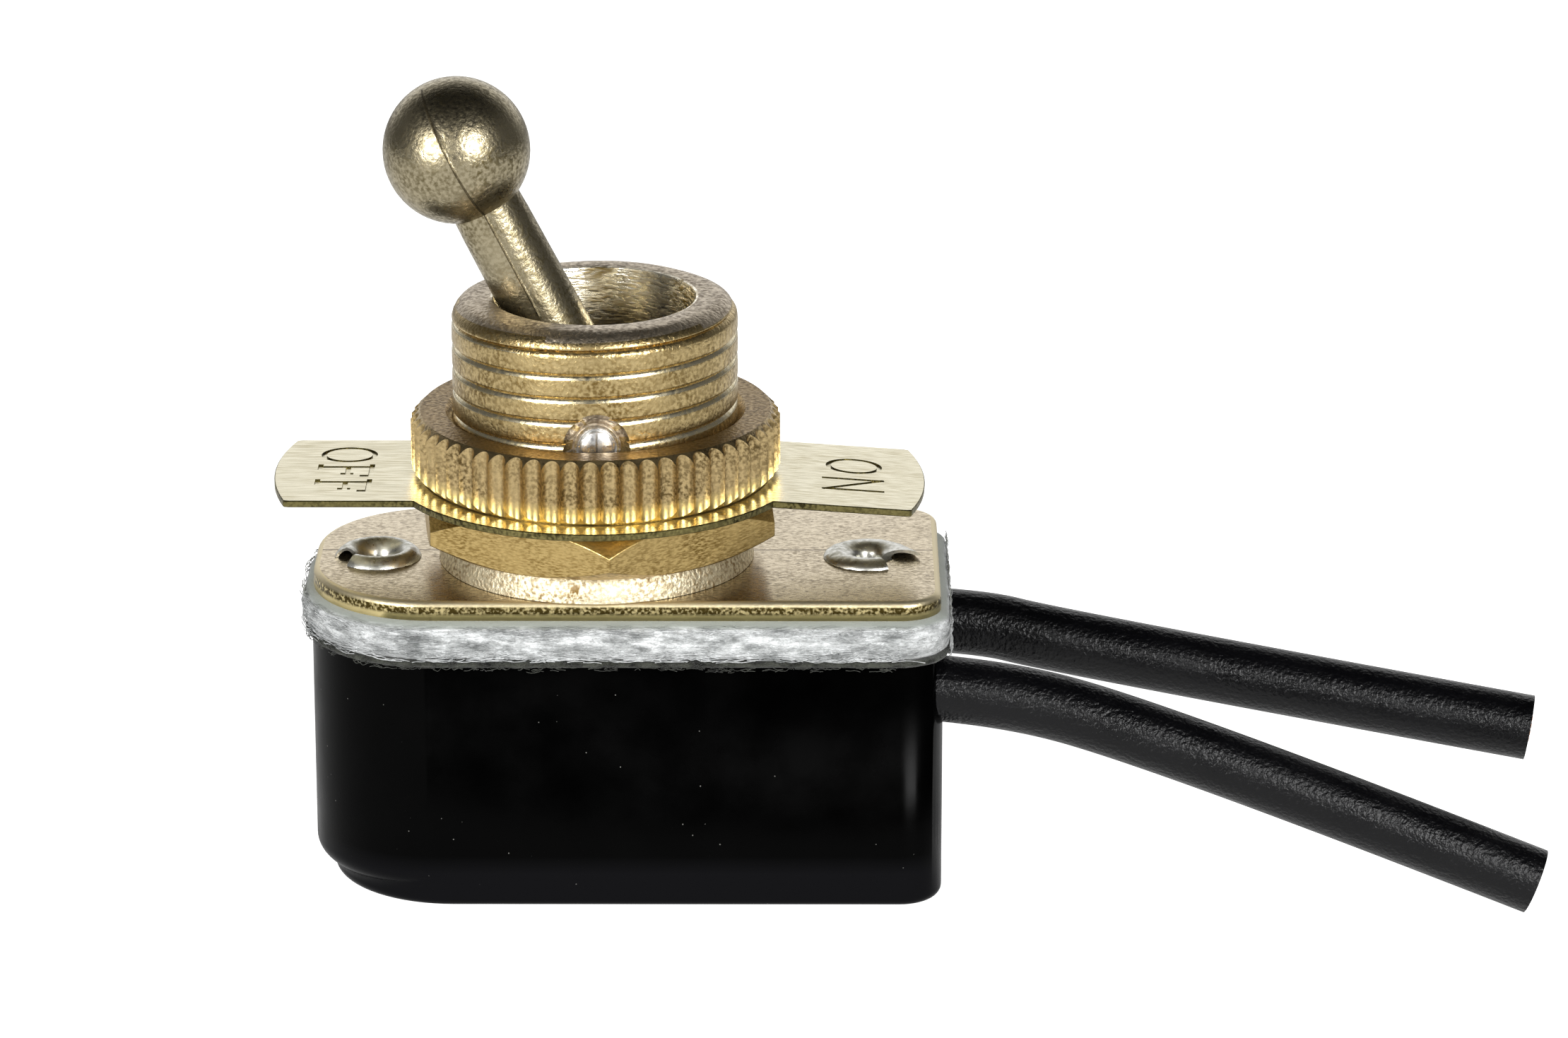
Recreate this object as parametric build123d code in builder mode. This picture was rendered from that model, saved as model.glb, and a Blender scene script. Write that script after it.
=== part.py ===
"""Toggle light switch with a ball lever, a threaded bushing, two nuts, a tag plate and two leads.

Millimetres. The origin is on the bushing's axis at the underside of the housing.
+Z points along the bushing, +X towards the leads, and the lever swings in the XZ plane.
The lever is modelled at OFF, where its ball leans towards -X.
"""

import os
from math import cos, radians, sin, sqrt, tan

from build123d import *

# Outline shared by plate, gasket and housing
plate_half_depth = 6.4
plate_left = -11.92
plate_right = 14.5
left_corner_radius = 5.2
right_corner_radius = 1.7
housing_margin = 0.1
felt_margin = 0.38
sheet_margin = 0.28

# Heights of the stack, from the underside up
housing_height = 10.75
sheet_thickness = 0.3
felt_thickness = 1.7
plate_thickness = 0.8
boss_height = 1.25
hex_nut_height = 2.15
tag_thickness = 0.3
ring_nut_height = 2.8
thread_above_nut = 4.9

# Housing
floor_thickness = 3.2
foot_ledge_height = 0.7
foot_ledge_width = 0.75
ear_radius = 0.9
foot_edge_radius = 0.45
chamber_right = 8.4
chamber_gap = 0.35
chamber_corner_radius = 0.6
pedestal_length = 1.5

# Gasket and plate
felt_edge_radius = 0.35
plate_edge_radius = 0.3
slot_clearance = 0.35

# Bushing
thread_diameter = 12.0
bushing_bore = 8.46
boss_diameter = 13.36
boss_taper = 0.3
boss_edge = 0.1
spigot_wall = 0.45
stake_spread = 0.4
spigot_fit = 0.02
rim_radius = 0.95
mouth_edge = 0.12
pivot_above_plate = 6.5
pin_recess_diameter = 3.1
pin_recess_depth = 1.0

# Nuts and tag plate
nut_fit = 0.03
hex_wall = 1.2
hex_turn = 5.4
hex_top_angle = 37
hex_bottom_angle = 31
ring_nut_wall = 1.8
ring_nut_teeth = 60
tooth_depth = 0.36
groove_bottom_share = 0.4
ring_top_chamfer = 0.42
ring_bottom_chamfer = 0.4
ring_mouth_chamfer = 0.3
tag_overhang = 0.26
tag_hole_clearance = 0.15
tag_half_width = 4.16
tag_left_reach = 13.55
tag_right_reach = 13.9
tag_corner_radius = 0.2
tag_bend_overlap = 0.1
tag_droop = 4.0

# Lever, pin and plunger
lever_throw = 26.9
ball_diameter = 6.14
ball_above_pivot = 12.54
stem_top_diameter = 3.0
stem_foot_diameter = 3.2
hub_clearance = 1.03
arm_diameter = 2.5
arm_length = 5.6
pin_diameter = 1.66
pin_dome = 0.35
pin_running_fit = 0.04
plunger_diameter = 1.6
plunger_running_fit = 0.05
plunger_reach = 12.2
plunger_guide = 2.0
spring_bore_start = 1.5
spring_wire = 0.28
spring_gap = 0.06
spring_turns = 4.5

# Rocker, contacts and terminals
rocker_tilt = 6.0
rocker_thickness = 0.5
rocker_half_width = 1.6
cradle_end_margin = 0.1
crest_radius = 0.5
touch_gap = 0.03
contact_diameter = 1.0
contact_margin = 0.04
contact_height = 0.35
contact_shank_diameter = 0.5
shank_fit = 0.02
strip_thickness = 0.5
strip_width = 1.2
strip_side_gap = 0.1
strip_bend_radius = 0.6
terminal_shelf_length = 1.5
terminal_end_gap = 0.3

# Eyelets
eyelet_left_x = -9.25
eyelet_right_x = 11.5
eyelet_y = -0.4
eyelet_diameter = 2.0
eyelet_bore = 1.4
eyelet_fit = 0.1
eyelet_head_diameter = 3.6
eyelet_head_thickness = 0.35
eyelet_recess_gap = 0.4
eyelet_recess_depth = 0.8
curl_seat = 0.01
curl_crest_out = 0.32
left_curl_radius = 1.85
left_curl_height = 0.42
left_split_turn = 208
right_curl_radius = 1.9
right_curl_height = 0.32
right_split_turn = -36
split_width = 1.2

# Leads
lead_diameter = 2.8
lead_clearance = 0.1
lead_half_spacing = 4.2
lead_drop = 1.5
lead_inset = 0.6
lead_bend_x = 15.6
conductor_diameter = 1.2
conductor_seat = 0.02
front_lead_tail = [(24, -5.25, 7.2), (39.45, -7.2, 1.5)]
rear_lead_tail = [(20, 3.65, 8.25), (39.95, 1.2, 5.27)]

# Levels worked out from the stack
sheet_z = housing_height
felt_z = sheet_z + sheet_thickness
plate_z = felt_z + felt_thickness
plate_top = plate_z + plate_thickness
nut_z = plate_top + boss_height
tag_z = nut_z + hex_nut_height
ring_z = tag_z + tag_thickness
ring_top = ring_z + ring_nut_height
rim_z = ring_top + thread_above_nut
pivot_z = plate_top + pivot_above_plate
lead_z = housing_height - lead_drop

thread_radius = thread_diameter / 2
bore_radius = bushing_bore / 2
hex_flat_radius = thread_radius + hex_wall
hex_corner_radius = hex_flat_radius / cos(radians(30))
ring_radius = thread_radius + ring_nut_wall
tag_disc_radius = hex_corner_radius + tag_overhang
pin_radius = pin_diameter / 2
plunger_radius = plunger_diameter / 2
lead_radius = lead_diameter / 2
conductor_radius = conductor_diameter / 2
housing_right = plate_right + housing_margin
chamber_half_depth = lead_half_spacing + strip_width / 2 + strip_side_gap
lead_start_x = chamber_right + lead_inset
eyelet_places = [(eyelet_left_x, eyelet_y), (eyelet_right_x, eyelet_y)]
eyelet_hole_radius = eyelet_diameter / 2 + eyelet_fit

# The lever at OFF: its plane lies in XZ with Y along the lever, towards the ball
throw = radians(lever_throw)
pivot = (0, 0, pivot_z)
lever_direction = (-sin(throw), 0, cos(throw))
lever_plane = Plane(origin=pivot, x_dir=(cos(throw), 0, sin(throw)), z_dir=(0, -1, 0))
lever_axis = Axis(pivot, lever_direction)
lever_down = Plane(origin=pivot, x_dir=(0, 1, 0), z_dir=(sin(throw), 0, -cos(throw)))

# The rocker's crest: the plunger's tip just clears the cradle when the lever stands upright
tip_path_radius = plunger_reach - plunger_radius
crest_z = pivot_z - plunger_reach - 2 * touch_gap - rocker_thickness
fulcrum_z = crest_z - crest_radius
cradle_low = crest_radius + touch_gap + rocker_thickness

# The cradle is the arc that the plunger's tip draws on the rocker while both turn together
tilt = radians(rocker_tilt)
tip_x = tip_path_radius * sin(throw)
tip_height = pivot_z - tip_path_radius * cos(throw) - fulcrum_z
tip_span = tip_x * cos(tilt) - tip_height * sin(tilt)
tip_rise = tip_x * sin(tilt) + tip_height * cos(tilt) - (pivot_z - tip_path_radius - fulcrum_z)
cradle_radius = (tip_span**2 + tip_rise**2) / (2 * tip_rise) + plunger_radius + touch_gap
cradle_center = cradle_low + cradle_radius
tip_touch = cradle_radius * tip_span / (cradle_radius - plunger_radius - touch_gap)
cradle_reach = tip_touch + cradle_end_margin
wing_top = cradle_center - sqrt(cradle_radius**2 - cradle_reach**2)
wing_low = wing_top - rocker_thickness
wing_root = sqrt((cradle_radius + rocker_thickness) ** 2 - (cradle_center - wing_low) ** 2)
contact_x = wing_root + contact_margin + contact_diameter / 2
rocker_reach = contact_x + contact_diameter / 2 + contact_margin
rocker_plane = Plane(origin=(0, 0, fulcrum_z), x_dir=(cos(tilt), 0, -sin(tilt)), z_dir=(0, -1, 0))

# Where the rocker's arms come down: on the stop at OFF, on the fixed contact at ON
stop_top = fulcrum_z + wing_low * cos(tilt) - rocker_reach * sin(tilt) - touch_gap
contact_edge = contact_x + contact_diameter / 2
contact_low = wing_low - contact_height
fixed_contact_x = -(contact_x * cos(tilt) + contact_low * sin(tilt))
fixed_contact_top = fulcrum_z + contact_low * cos(tilt) - contact_edge * sin(tilt) - touch_gap
fixed_shelf_top = fixed_contact_top - contact_height

# The room that the swinging plunger needs through sheet, gasket and bushing, and the rocker in the chamber
plunger_side = plunger_radius / cos(throw) + slot_clearance
swing_slot_length = 2 * ((pivot_z - housing_height) * tan(throw) + plunger_side)
swing_slot_width = plunger_diameter + 4 * slot_clearance
flare_radius = (pivot_z - plate_z) * tan(throw) + plunger_side
flare_top = pivot_z - (bore_radius - plunger_side) / tan(throw)
spigot_radius = flare_radius + spigot_wall
chamber_left = -(rocker_reach * cos(tilt) + wing_top * sin(tilt) + chamber_gap)


def switch_outline(height, margin, left_set_back=0):
    """Outline of the switch at a height, grown by a margin: wide corners on the left, small on the right."""
    left = plate_left - margin + left_set_back
    right = plate_right + margin
    with BuildSketch(Plane.XY.offset(height)) as outline:
        with Locations(((left + right) / 2, 0)):
            Rectangle(right - left, 2 * (plate_half_depth + margin))
        fillet(outline.vertices().group_by(Axis.X)[0], left_corner_radius + margin)
        fillet(outline.vertices().group_by(Axis.X)[-1], right_corner_radius + margin)
    return outline.sketch


def lead_points(side, tail):
    """Route of a lead: straight out of its channel, then its own bend."""
    start = (lead_start_x, side * lead_half_spacing, lead_z)
    bend = (lead_bend_x, side * lead_half_spacing, lead_z)
    return [Vector(*point) for point in [start, bend, *tail]]


def corner_radii(points):
    """Radius at each inner point: as large as the two runs beside it allow."""
    radii = []
    for before, corner, after in zip(points, points[1:], points[2:]):
        turn = (corner - before).get_angle(after - corner)
        shorter = min((corner - before).length, (after - corner).length)
        radii.append(0.45 * shorter / tan(radians(turn) / 2))
    return radii


# Housing: the body with a rounded lower edge stands on a foot that is set back on the left
housing_outline = switch_outline(foot_ledge_height, housing_margin)
housing_foot = switch_outline(0, housing_margin, foot_ledge_width)
with BuildPart() as housing:
    extrude(housing_outline, amount=housing_height - foot_ledge_height)
    fillet(housing.faces().sort_by(Axis.Z)[0].edges(), ear_radius)
    extrude(housing_foot, amount=foot_ledge_height + ear_radius)
    fillet(housing.faces().sort_by(Axis.Z)[0].edges(), foot_edge_radius)
    with BuildSketch(Plane.XY.offset(floor_thickness)):
        with Locations(((chamber_left + chamber_right) / 2, 0)):
            RectangleRounded(chamber_right - chamber_left, 2 * chamber_half_depth, chamber_corner_radius)
    extrude(amount=housing_height, mode=Mode.SUBTRACT)
    with BuildSketch(Plane.XY.offset(floor_thickness)):
        with Locations((rocker_reach, 0)):
            Rectangle(pedestal_length, 2 * rocker_half_width)
    extrude(amount=stop_top - floor_thickness)
    with BuildSketch(Plane.XY.offset(floor_thickness)):
        with Locations((fixed_contact_x, 0)):
            Rectangle(pedestal_length, 2 * rocker_half_width)
    extrude(amount=fixed_shelf_top - strip_thickness - floor_thickness)
    with BuildSketch(Plane.YZ.offset(chamber_right - chamber_corner_radius)):
        with Locations((lead_half_spacing, lead_z), (-lead_half_spacing, lead_z)):
            Circle(lead_radius + lead_clearance)
            Rectangle(lead_diameter + 2 * lead_clearance, housing_height, align=(Align.CENTER, Align.MIN))
    extrude(amount=housing_right - chamber_right + 2 * chamber_corner_radius, mode=Mode.SUBTRACT)
    with Locations(*eyelet_places):
        Cylinder(eyelet_hole_radius, housing_height, align=(Align.CENTER, Align.CENTER, Align.MIN),
                 mode=Mode.SUBTRACT)
        Cylinder(eyelet_head_diameter / 2 + eyelet_recess_gap, eyelet_recess_depth,
                 align=(Align.CENTER, Align.CENTER, Align.MIN), mode=Mode.SUBTRACT)

# Fibre sheet: closes the housing, slotted for the plunger's swing
sheet_outline = switch_outline(sheet_z, sheet_margin)
with BuildPart() as fibre_sheet:
    extrude(sheet_outline, amount=sheet_thickness)
    with BuildSketch(Plane.XY.offset(sheet_z)):
        SlotOverall(swing_slot_length, swing_slot_width)
        with Locations(*eyelet_places):
            Circle(eyelet_hole_radius)
    extrude(amount=sheet_thickness, mode=Mode.SUBTRACT)

# Felt gasket: thick and soft-edged, squeezed between sheet and plate
felt_outline = switch_outline(felt_z, felt_margin)
with BuildPart() as felt_gasket:
    extrude(felt_outline, amount=felt_thickness)
    felt_rims = felt_gasket.edges().group_by(Axis.Z)
    fillet(felt_rims[0] + felt_rims[-1], felt_edge_radius)
    with BuildSketch(Plane.XY.offset(felt_z)):
        SlotOverall(swing_slot_length, swing_slot_width)
        with Locations(*eyelet_places):
            Circle(eyelet_hole_radius)
    extrude(amount=felt_thickness, mode=Mode.SUBTRACT)

# Mounting plate: sheet brass with a rolled upper edge, countersunk below for the staked bushing
plate_outline = switch_outline(plate_z, 0)
with BuildPart() as mounting_plate:
    extrude(plate_outline, amount=plate_thickness)
    fillet(mounting_plate.edges().group_by(Axis.Z)[-1], plate_edge_radius)
    with BuildSketch(Plane.XZ) as bushing_hole:
        with BuildLine():
            Polyline(
                (0, plate_z),
                (spigot_radius + stake_spread + spigot_fit, plate_z),
                (spigot_radius + spigot_fit, plate_z + stake_spread),
                (spigot_radius + spigot_fit, plate_top),
                (0, plate_top),
                close=True,
            )
        make_face()
    revolve(axis=Axis.Z, mode=Mode.SUBTRACT)
    with BuildSketch(Plane.XY.offset(plate_z)):
        with Locations(*eyelet_places):
            Circle(eyelet_hole_radius)
    extrude(amount=plate_thickness, mode=Mode.SUBTRACT)

# Bushing: a turned barrel with a boss, staked through the plate, its bore flared below for the swing
with BuildPart() as bushing:
    with BuildSketch(Plane.XZ):
        with BuildLine():
            outside = Polyline(
                (flare_radius, plate_z),
                (spigot_radius + stake_spread, plate_z),
                (spigot_radius, plate_z + stake_spread),
                (spigot_radius, plate_top),
                (boss_diameter / 2, plate_top),
                (boss_diameter / 2 - boss_taper, nut_z - boss_edge),
                (boss_diameter / 2 - boss_taper - boss_edge, nut_z),
                (thread_radius, nut_z),
                (thread_radius, rim_z - rim_radius),
            )
            rim = RadiusArc(outside @ 1, (thread_radius - rim_radius, rim_z), -rim_radius)
            Polyline(
                rim @ 1,
                (bore_radius + mouth_edge, rim_z),
                (bore_radius, rim_z - mouth_edge),
                (bore_radius, flare_top),
                outside @ 0,
            )
        make_face()
    revolve(axis=Axis.Z)
    with BuildSketch(Plane.XZ):
        with Locations((0, pivot_z)):
            Circle(pin_radius)
    extrude(amount=thread_diameter, both=True, mode=Mode.SUBTRACT)
    for side in (1, -1):
        with BuildSketch(Plane.XZ.offset(side * thread_radius)):
            with Locations((0, pivot_z)):
                Circle(pin_recess_diameter / 2)
        extrude(amount=-side * pin_recess_depth, mode=Mode.SUBTRACT)

# Hex nut: thin, with its corners turned off above and below
hex_corner_step = hex_corner_radius - hex_flat_radius
hex_top_drop = hex_corner_step * tan(radians(hex_top_angle))
hex_bottom_rise = hex_corner_step * tan(radians(hex_bottom_angle))
with BuildPart() as hex_nut:
    with BuildSketch(Plane.XY.offset(nut_z)):
        RegularPolygon(hex_corner_radius, 6, rotation=30 + hex_turn)
        Circle(thread_radius + nut_fit, mode=Mode.SUBTRACT)
    extrude(amount=hex_nut_height)
    with BuildSketch(Plane.XZ):
        with BuildLine():
            Polyline(
                (0, nut_z),
                (hex_flat_radius, nut_z),
                (hex_corner_radius, nut_z + hex_bottom_rise),
                (hex_corner_radius, tag_z - hex_top_drop),
                (hex_flat_radius, tag_z),
                (0, tag_z),
                close=True,
            )
        make_face()
    revolve(axis=Axis.Z, mode=Mode.INTERSECT)


def tab_face(plane, axis_x, root, reach):
    """A tab of the tag plate along the plane's X, its end an arc about the bushing's axis at axis_x."""
    corner_x = axis_x + sqrt(reach**2 - tag_half_width**2)
    with BuildSketch(plane) as tab:
        with BuildLine():
            sides = Polyline(
                (corner_x, -tag_half_width),
                (root, -tag_half_width),
                (root, tag_half_width),
                (corner_x, tag_half_width),
            )
            ThreePointArc(sides @ 1, (axis_x + reach, 0), sides @ 0)
        make_face()
        fillet(tab.vertices().sort_by_distance((root, 0, 0))[2:], tag_corner_radius)
    return tab.sketch


# Tag plate: a disc with two tabs, the right one bent down a little where it leaves the disc
droop = radians(tag_droop)
tag_bend_x = sqrt(tag_disc_radius**2 - tag_half_width**2)
bent_plane = Plane(
    origin=(tag_bend_x, 0, tag_z), x_dir=(cos(droop), 0, -sin(droop)), z_dir=(sin(droop), 0, cos(droop))
)
left_plane = Plane(origin=(0, 0, tag_z), x_dir=(-1, 0, 0), z_dir=(0, 0, 1))
left_tab = tab_face(left_plane, 0, thread_radius, tag_left_reach)
right_tab = tab_face(bent_plane, -tag_bend_x, -tag_bend_overlap, tag_right_reach)
with BuildPart() as indicator_plate:
    with BuildSketch(Plane.XY.offset(tag_z)):
        Circle(tag_disc_radius)
        with Locations((tag_bend_x, 0)):
            Rectangle(
                tag_disc_radius, 2 * tag_disc_radius, align=(Align.MIN, Align.CENTER), mode=Mode.SUBTRACT
            )
    extrude(amount=tag_thickness)
    extrude(left_tab, amount=tag_thickness)
    extrude(right_tab, amount=tag_thickness)
    with BuildSketch(Plane.XY.offset(tag_z)):
        Circle(thread_radius + tag_hole_clearance)
    extrude(amount=tag_thickness, mode=Mode.SUBTRACT)

# Ring nut: pointed teeth between wide grooves all round, turned off to a slope above and below
groove_radius = ring_radius - tooth_depth
groove_start = (1 - groove_bottom_share) / 2
tooth_turn = 360 / ring_nut_teeth
tooth_start = 0.5
tooth_points = []
for tooth in range(ring_nut_teeth):
    for turn, radius in ((0, ring_radius), (groove_start, groove_radius), (1 - groove_start, groove_radius)):
        angle = radians((tooth + turn + tooth_start) * tooth_turn)
        tooth_points.append((radius * cos(angle), radius * sin(angle)))
with BuildPart() as ring_nut:
    with BuildSketch(Plane.XY.offset(ring_z)):
        with BuildLine():
            Polyline(*tooth_points, close=True)
        make_face()
    extrude(amount=ring_nut_height)
    with BuildSketch(Plane.XZ):
        with BuildLine():
            Polyline(
                (thread_radius + nut_fit, ring_z),
                (ring_radius - ring_bottom_chamfer, ring_z),
                (ring_radius, ring_z + ring_bottom_chamfer),
                (ring_radius, ring_top - ring_top_chamfer),
                (ring_radius - ring_top_chamfer, ring_top),
                (thread_radius + nut_fit + ring_mouth_chamfer, ring_top),
                (thread_radius + nut_fit, ring_top - ring_mouth_chamfer),
                close=True,
            )
        make_face()
    revolve(axis=Axis.Z, mode=Mode.INTERSECT)

# Lever: one casting of ball, tapered stem, round hub and a lower arm that is bored for the plunger
ball_radius = ball_diameter / 2
stem_top_radius = stem_top_diameter / 2
stem_foot_radius = stem_foot_diameter / 2
arm_radius = arm_diameter / 2
hub_radius = bore_radius - hub_clearance
spring_bore_radius = plunger_radius + plunger_running_fit
with BuildPart() as lever:
    with BuildSketch(lever_plane):
        with BuildLine():
            arm = Polyline(
                (0, -arm_length),
                (arm_radius, -arm_length),
                (arm_radius, -sqrt(hub_radius**2 - arm_radius**2)),
            )
            stem = Line(
                (stem_foot_radius, sqrt(hub_radius**2 - stem_foot_radius**2)),
                (stem_top_radius, ball_above_pivot - sqrt(ball_radius**2 - stem_top_radius**2)),
            )
            ThreePointArc(arm @ 1, (hub_radius, 0), stem @ 0)
            ball_side = (ball_radius, ball_above_pivot)
            ball = ThreePointArc(stem @ 1, ball_side, (0, ball_above_pivot + ball_radius))
            Line(ball @ 1, arm @ 0)
        make_face()
    revolve(axis=lever_axis)
    with BuildSketch(lever_down.offset(spring_bore_start)):
        Circle(spring_bore_radius)
    extrude(amount=arm_length, mode=Mode.SUBTRACT)
    with BuildSketch(Plane.XZ):
        with Locations((0, pivot_z)):
            Circle(pin_radius + pin_running_fit)
    extrude(amount=ball_diameter, both=True, mode=Mode.SUBTRACT)

# Pivot pin: domed at both ends, seated at the bottom of the bushing's recesses
pin_half_length = thread_radius - pin_recess_depth
with BuildPart() as pivot_pin:
    with BuildSketch(Plane.YZ):
        with BuildLine():
            shank = Polyline(
                (-pin_half_length - pin_dome, pivot_z),
                (pin_half_length + pin_dome, pivot_z),
            )
            front_dome = ThreePointArc(
                shank @ 0,
                (-pin_half_length - pin_dome * 0.75, pivot_z + pin_radius / 2),
                (-pin_half_length, pivot_z + pin_radius),
            )
            back_dome = ThreePointArc(
                shank @ 1,
                (pin_half_length + pin_dome * 0.75, pivot_z + pin_radius / 2),
                (pin_half_length, pivot_z + pin_radius),
            )
            Line(front_dome @ 1, back_dome @ 1)
        make_face()
    revolve(axis=Axis(pivot, (0, 1, 0)))

# Plunger: slides in the lever's arm, with a round tip on the rocker's cradle
plunger_top = arm_length - plunger_guide
with BuildPart() as plunger:
    with BuildSketch(lever_plane):
        with BuildLine():
            side = Polyline(
                (0, -plunger_top),
                (plunger_radius, -plunger_top),
                (plunger_radius, -tip_path_radius),
            )
            tip = RadiusArc(side @ 1, (0, -plunger_reach), plunger_radius)
            Line(tip @ 1, side @ 0)
        make_face()
    revolve(axis=lever_axis)

# Plunger spring: an open coil between the end of the bore and the plunger
spring_start = spring_bore_start + spring_gap + spring_wire / 2
spring_height = plunger_top - spring_gap - spring_wire / 2 - spring_start
coil_radius = spring_bore_radius - spring_gap - spring_wire / 2
spring_base = lever_down.offset(spring_start)
coil = spring_base.location * Helix(spring_height / spring_turns, spring_height, coil_radius)
with BuildPart() as plunger_spring:
    with BuildSketch(Plane(origin=coil @ 0, z_dir=coil % 0)):
        Circle(spring_wire / 2)
    sweep(path=coil, is_frenet=True)

# Rocker: a bent strip with a cradle in the middle and a flat wing at each end
with BuildPart() as rocker:
    with BuildSketch(rocker_plane):
        with BuildLine():
            top = ThreePointArc((-cradle_reach, wing_top), (0, cradle_low), (cradle_reach, wing_top))
            lowest = (0, cradle_low - rocker_thickness)
            under = ThreePointArc((-wing_root, wing_low), lowest, (wing_root, wing_low))
            for end, wing_x in ((0, -rocker_reach), (1, rocker_reach)):
                Polyline(top @ end, (wing_x, wing_top), (wing_x, wing_low), under @ end)
        make_face()
    extrude(amount=rocker_half_width, both=True)
    with BuildSketch(Plane(rocker_plane.location * Location((-contact_x, wing_low, 0), (-90, 0, 0)))):
        Circle(contact_shank_diameter / 2 + shank_fit)
    extrude(amount=rocker_thickness, both=True, mode=Mode.SUBTRACT)


def contact_rivet(seat):
    """A flat-headed contact rivet: its head stands out from the seat, its shank fills the strip behind."""
    with BuildPart() as rivet:
        with BuildSketch(seat):
            Circle(contact_diameter / 2)
        extrude(amount=contact_height)
        with BuildSketch(seat):
            Circle(contact_shank_diameter / 2)
        extrude(amount=-rocker_thickness)
    return rivet


moving_seat = Plane(rocker_plane.location * Location((-contact_x, wing_low, 0), (90, 0, 0)))
fixed_seat = Plane.XY.offset(fixed_shelf_top).move(Location((fixed_contact_x, 0, 0)))
moving_contact = contact_rivet(moving_seat)
fixed_contact = contact_rivet(fixed_seat)

# Terminals: bent strips along the chamber's sides, each with a shelf for its conductor
strip_mid = floor_thickness + strip_thickness / 2
shelf_mid = lead_z - conductor_radius - conductor_seat - strip_thickness / 2
strip_outer_y = lead_half_spacing + strip_width / 2
strip_inner_y = strip_outer_y - strip_width
terminal_riser_x = chamber_right - terminal_end_gap - terminal_shelf_length
terminal_end = [
    (terminal_riser_x, strip_mid),
    (terminal_riser_x, shelf_mid),
    (terminal_riser_x + terminal_shelf_length, shelf_mid),
]
with BuildPart() as common_terminal:
    with BuildSketch(Plane.XZ.offset(-strip_outer_y)):
        with BuildLine():
            FilletPolyline((0, strip_mid), *terminal_end, radius=strip_bend_radius)
        trace(line_width=strip_thickness)
    extrude(amount=strip_width)
    with BuildSketch(Plane.XY.offset(floor_thickness)):
        with Locations((0, -rocker_half_width)):
            Rectangle(2 * strip_width, rocker_half_width + strip_outer_y, align=(Align.CENTER, Align.MIN))
    extrude(amount=strip_thickness)
    with BuildSketch(Plane.XZ):
        with Locations((0, fulcrum_z)):
            Circle(crest_radius)
            Rectangle(2 * crest_radius, fulcrum_z - floor_thickness, align=(Align.CENTER, Align.MAX))
    extrude(amount=rocker_half_width, both=True)

fixed_shelf_mid = fixed_shelf_top - strip_thickness / 2
fixed_riser_x = fixed_contact_x - (strip_width - strip_thickness) / 2
with BuildPart() as fixed_terminal:
    with BuildSketch(Plane.XZ.offset(strip_inner_y)):
        with BuildLine():
            FilletPolyline(
                (fixed_contact_x + strip_width / 2, fixed_shelf_mid),
                (fixed_riser_x, fixed_shelf_mid),
                (fixed_riser_x, strip_mid),
                *terminal_end,
                radius=strip_bend_radius,
            )
        trace(line_width=strip_thickness)
    extrude(amount=strip_width)
    with BuildSketch(Plane.XY.offset(fixed_shelf_top - strip_thickness)):
        with Locations((fixed_contact_x, rocker_half_width)):
            Rectangle(strip_width, rocker_half_width + strip_outer_y, align=(Align.CENTER, Align.MAX))
        with Locations((fixed_contact_x, 0)):
            Circle(contact_shank_diameter / 2 + shank_fit, mode=Mode.SUBTRACT)
    extrude(amount=strip_thickness)


def eyelet(x, curl_radius, curl_height, split_turn):
    """A hollow rivet: head in the housing's recess, tube through the stack, end curled out on the plate."""
    tube = eyelet_diameter / 2
    bore = eyelet_bore / 2
    curl_low = plate_top + curl_seat
    crest = tube + curl_crest_out
    crest_top = plate_top + curl_height
    head_top = eyelet_recess_depth
    with BuildPart() as rivet:
        with BuildSketch(Plane((x, eyelet_y, 0), x_dir=(1, 0, 0), z_dir=(0, -1, 0))):
            with BuildLine():
                wall = Polyline(
                    (tube, curl_low),
                    (tube, head_top),
                    (eyelet_head_diameter / 2, head_top),
                    (eyelet_head_diameter / 2, head_top - eyelet_head_thickness),
                    (bore, head_top - eyelet_head_thickness),
                    (bore, plate_top - curl_height / 2),
                )
                funnel = TangentArc(wall @ 1, (crest, crest_top), tangent=(0, 1))
                lip = TangentArc(funnel @ 1, (curl_radius, curl_low), tangent=funnel % 1)
                Line(lip @ 1, wall @ 0)
            make_face()
        revolve(axis=Axis((x, eyelet_y, 0), (0, 0, 1)))
        with BuildSketch(Plane.XY.offset(curl_low)):
            with Locations(Location((x, eyelet_y, 0), (0, 0, split_turn))):
                Rectangle(2 * curl_radius, split_width, align=(Align.MIN, Align.CENTER))
        extrude(amount=2 * curl_height, mode=Mode.SUBTRACT)
    return rivet


eyelet_left = eyelet(eyelet_left_x, left_curl_radius, left_curl_height, left_split_turn)
eyelet_right = eyelet(eyelet_right_x, right_curl_radius, right_curl_height, right_split_turn)


def lead(points):
    """A plastic-covered wire along its route, cut square at both ends."""
    with BuildPart() as wire:
        with BuildLine():
            path = FilletPolyline(*points, radius=corner_radii(points))
        with BuildSketch(Plane(origin=path @ 0, z_dir=path % 0)):
            Circle(lead_radius)
        sweep(path=path)
    return wire


def conductor(side):
    """The stripped end of a lead, lying on its terminal's shelf."""
    with BuildPart() as wire:
        with BuildSketch(Plane.YZ.offset(terminal_riser_x)):
            with Locations((side * lead_half_spacing, lead_z)):
                Circle(conductor_radius)
        extrude(amount=lead_start_x - terminal_riser_x)
    return wire


front_points = lead_points(-1, front_lead_tail)
rear_points = lead_points(1, rear_lead_tail)
lead_front = lead(front_points)
lead_rear = lead(rear_points)
conductor_front = conductor(-1)
conductor_rear = conductor(1)
print("front lead radii", [round(radius, 1) for radius in corner_radii(front_points)])
print("rear lead radii", [round(radius, 1) for radius in corner_radii(rear_points)])

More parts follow.
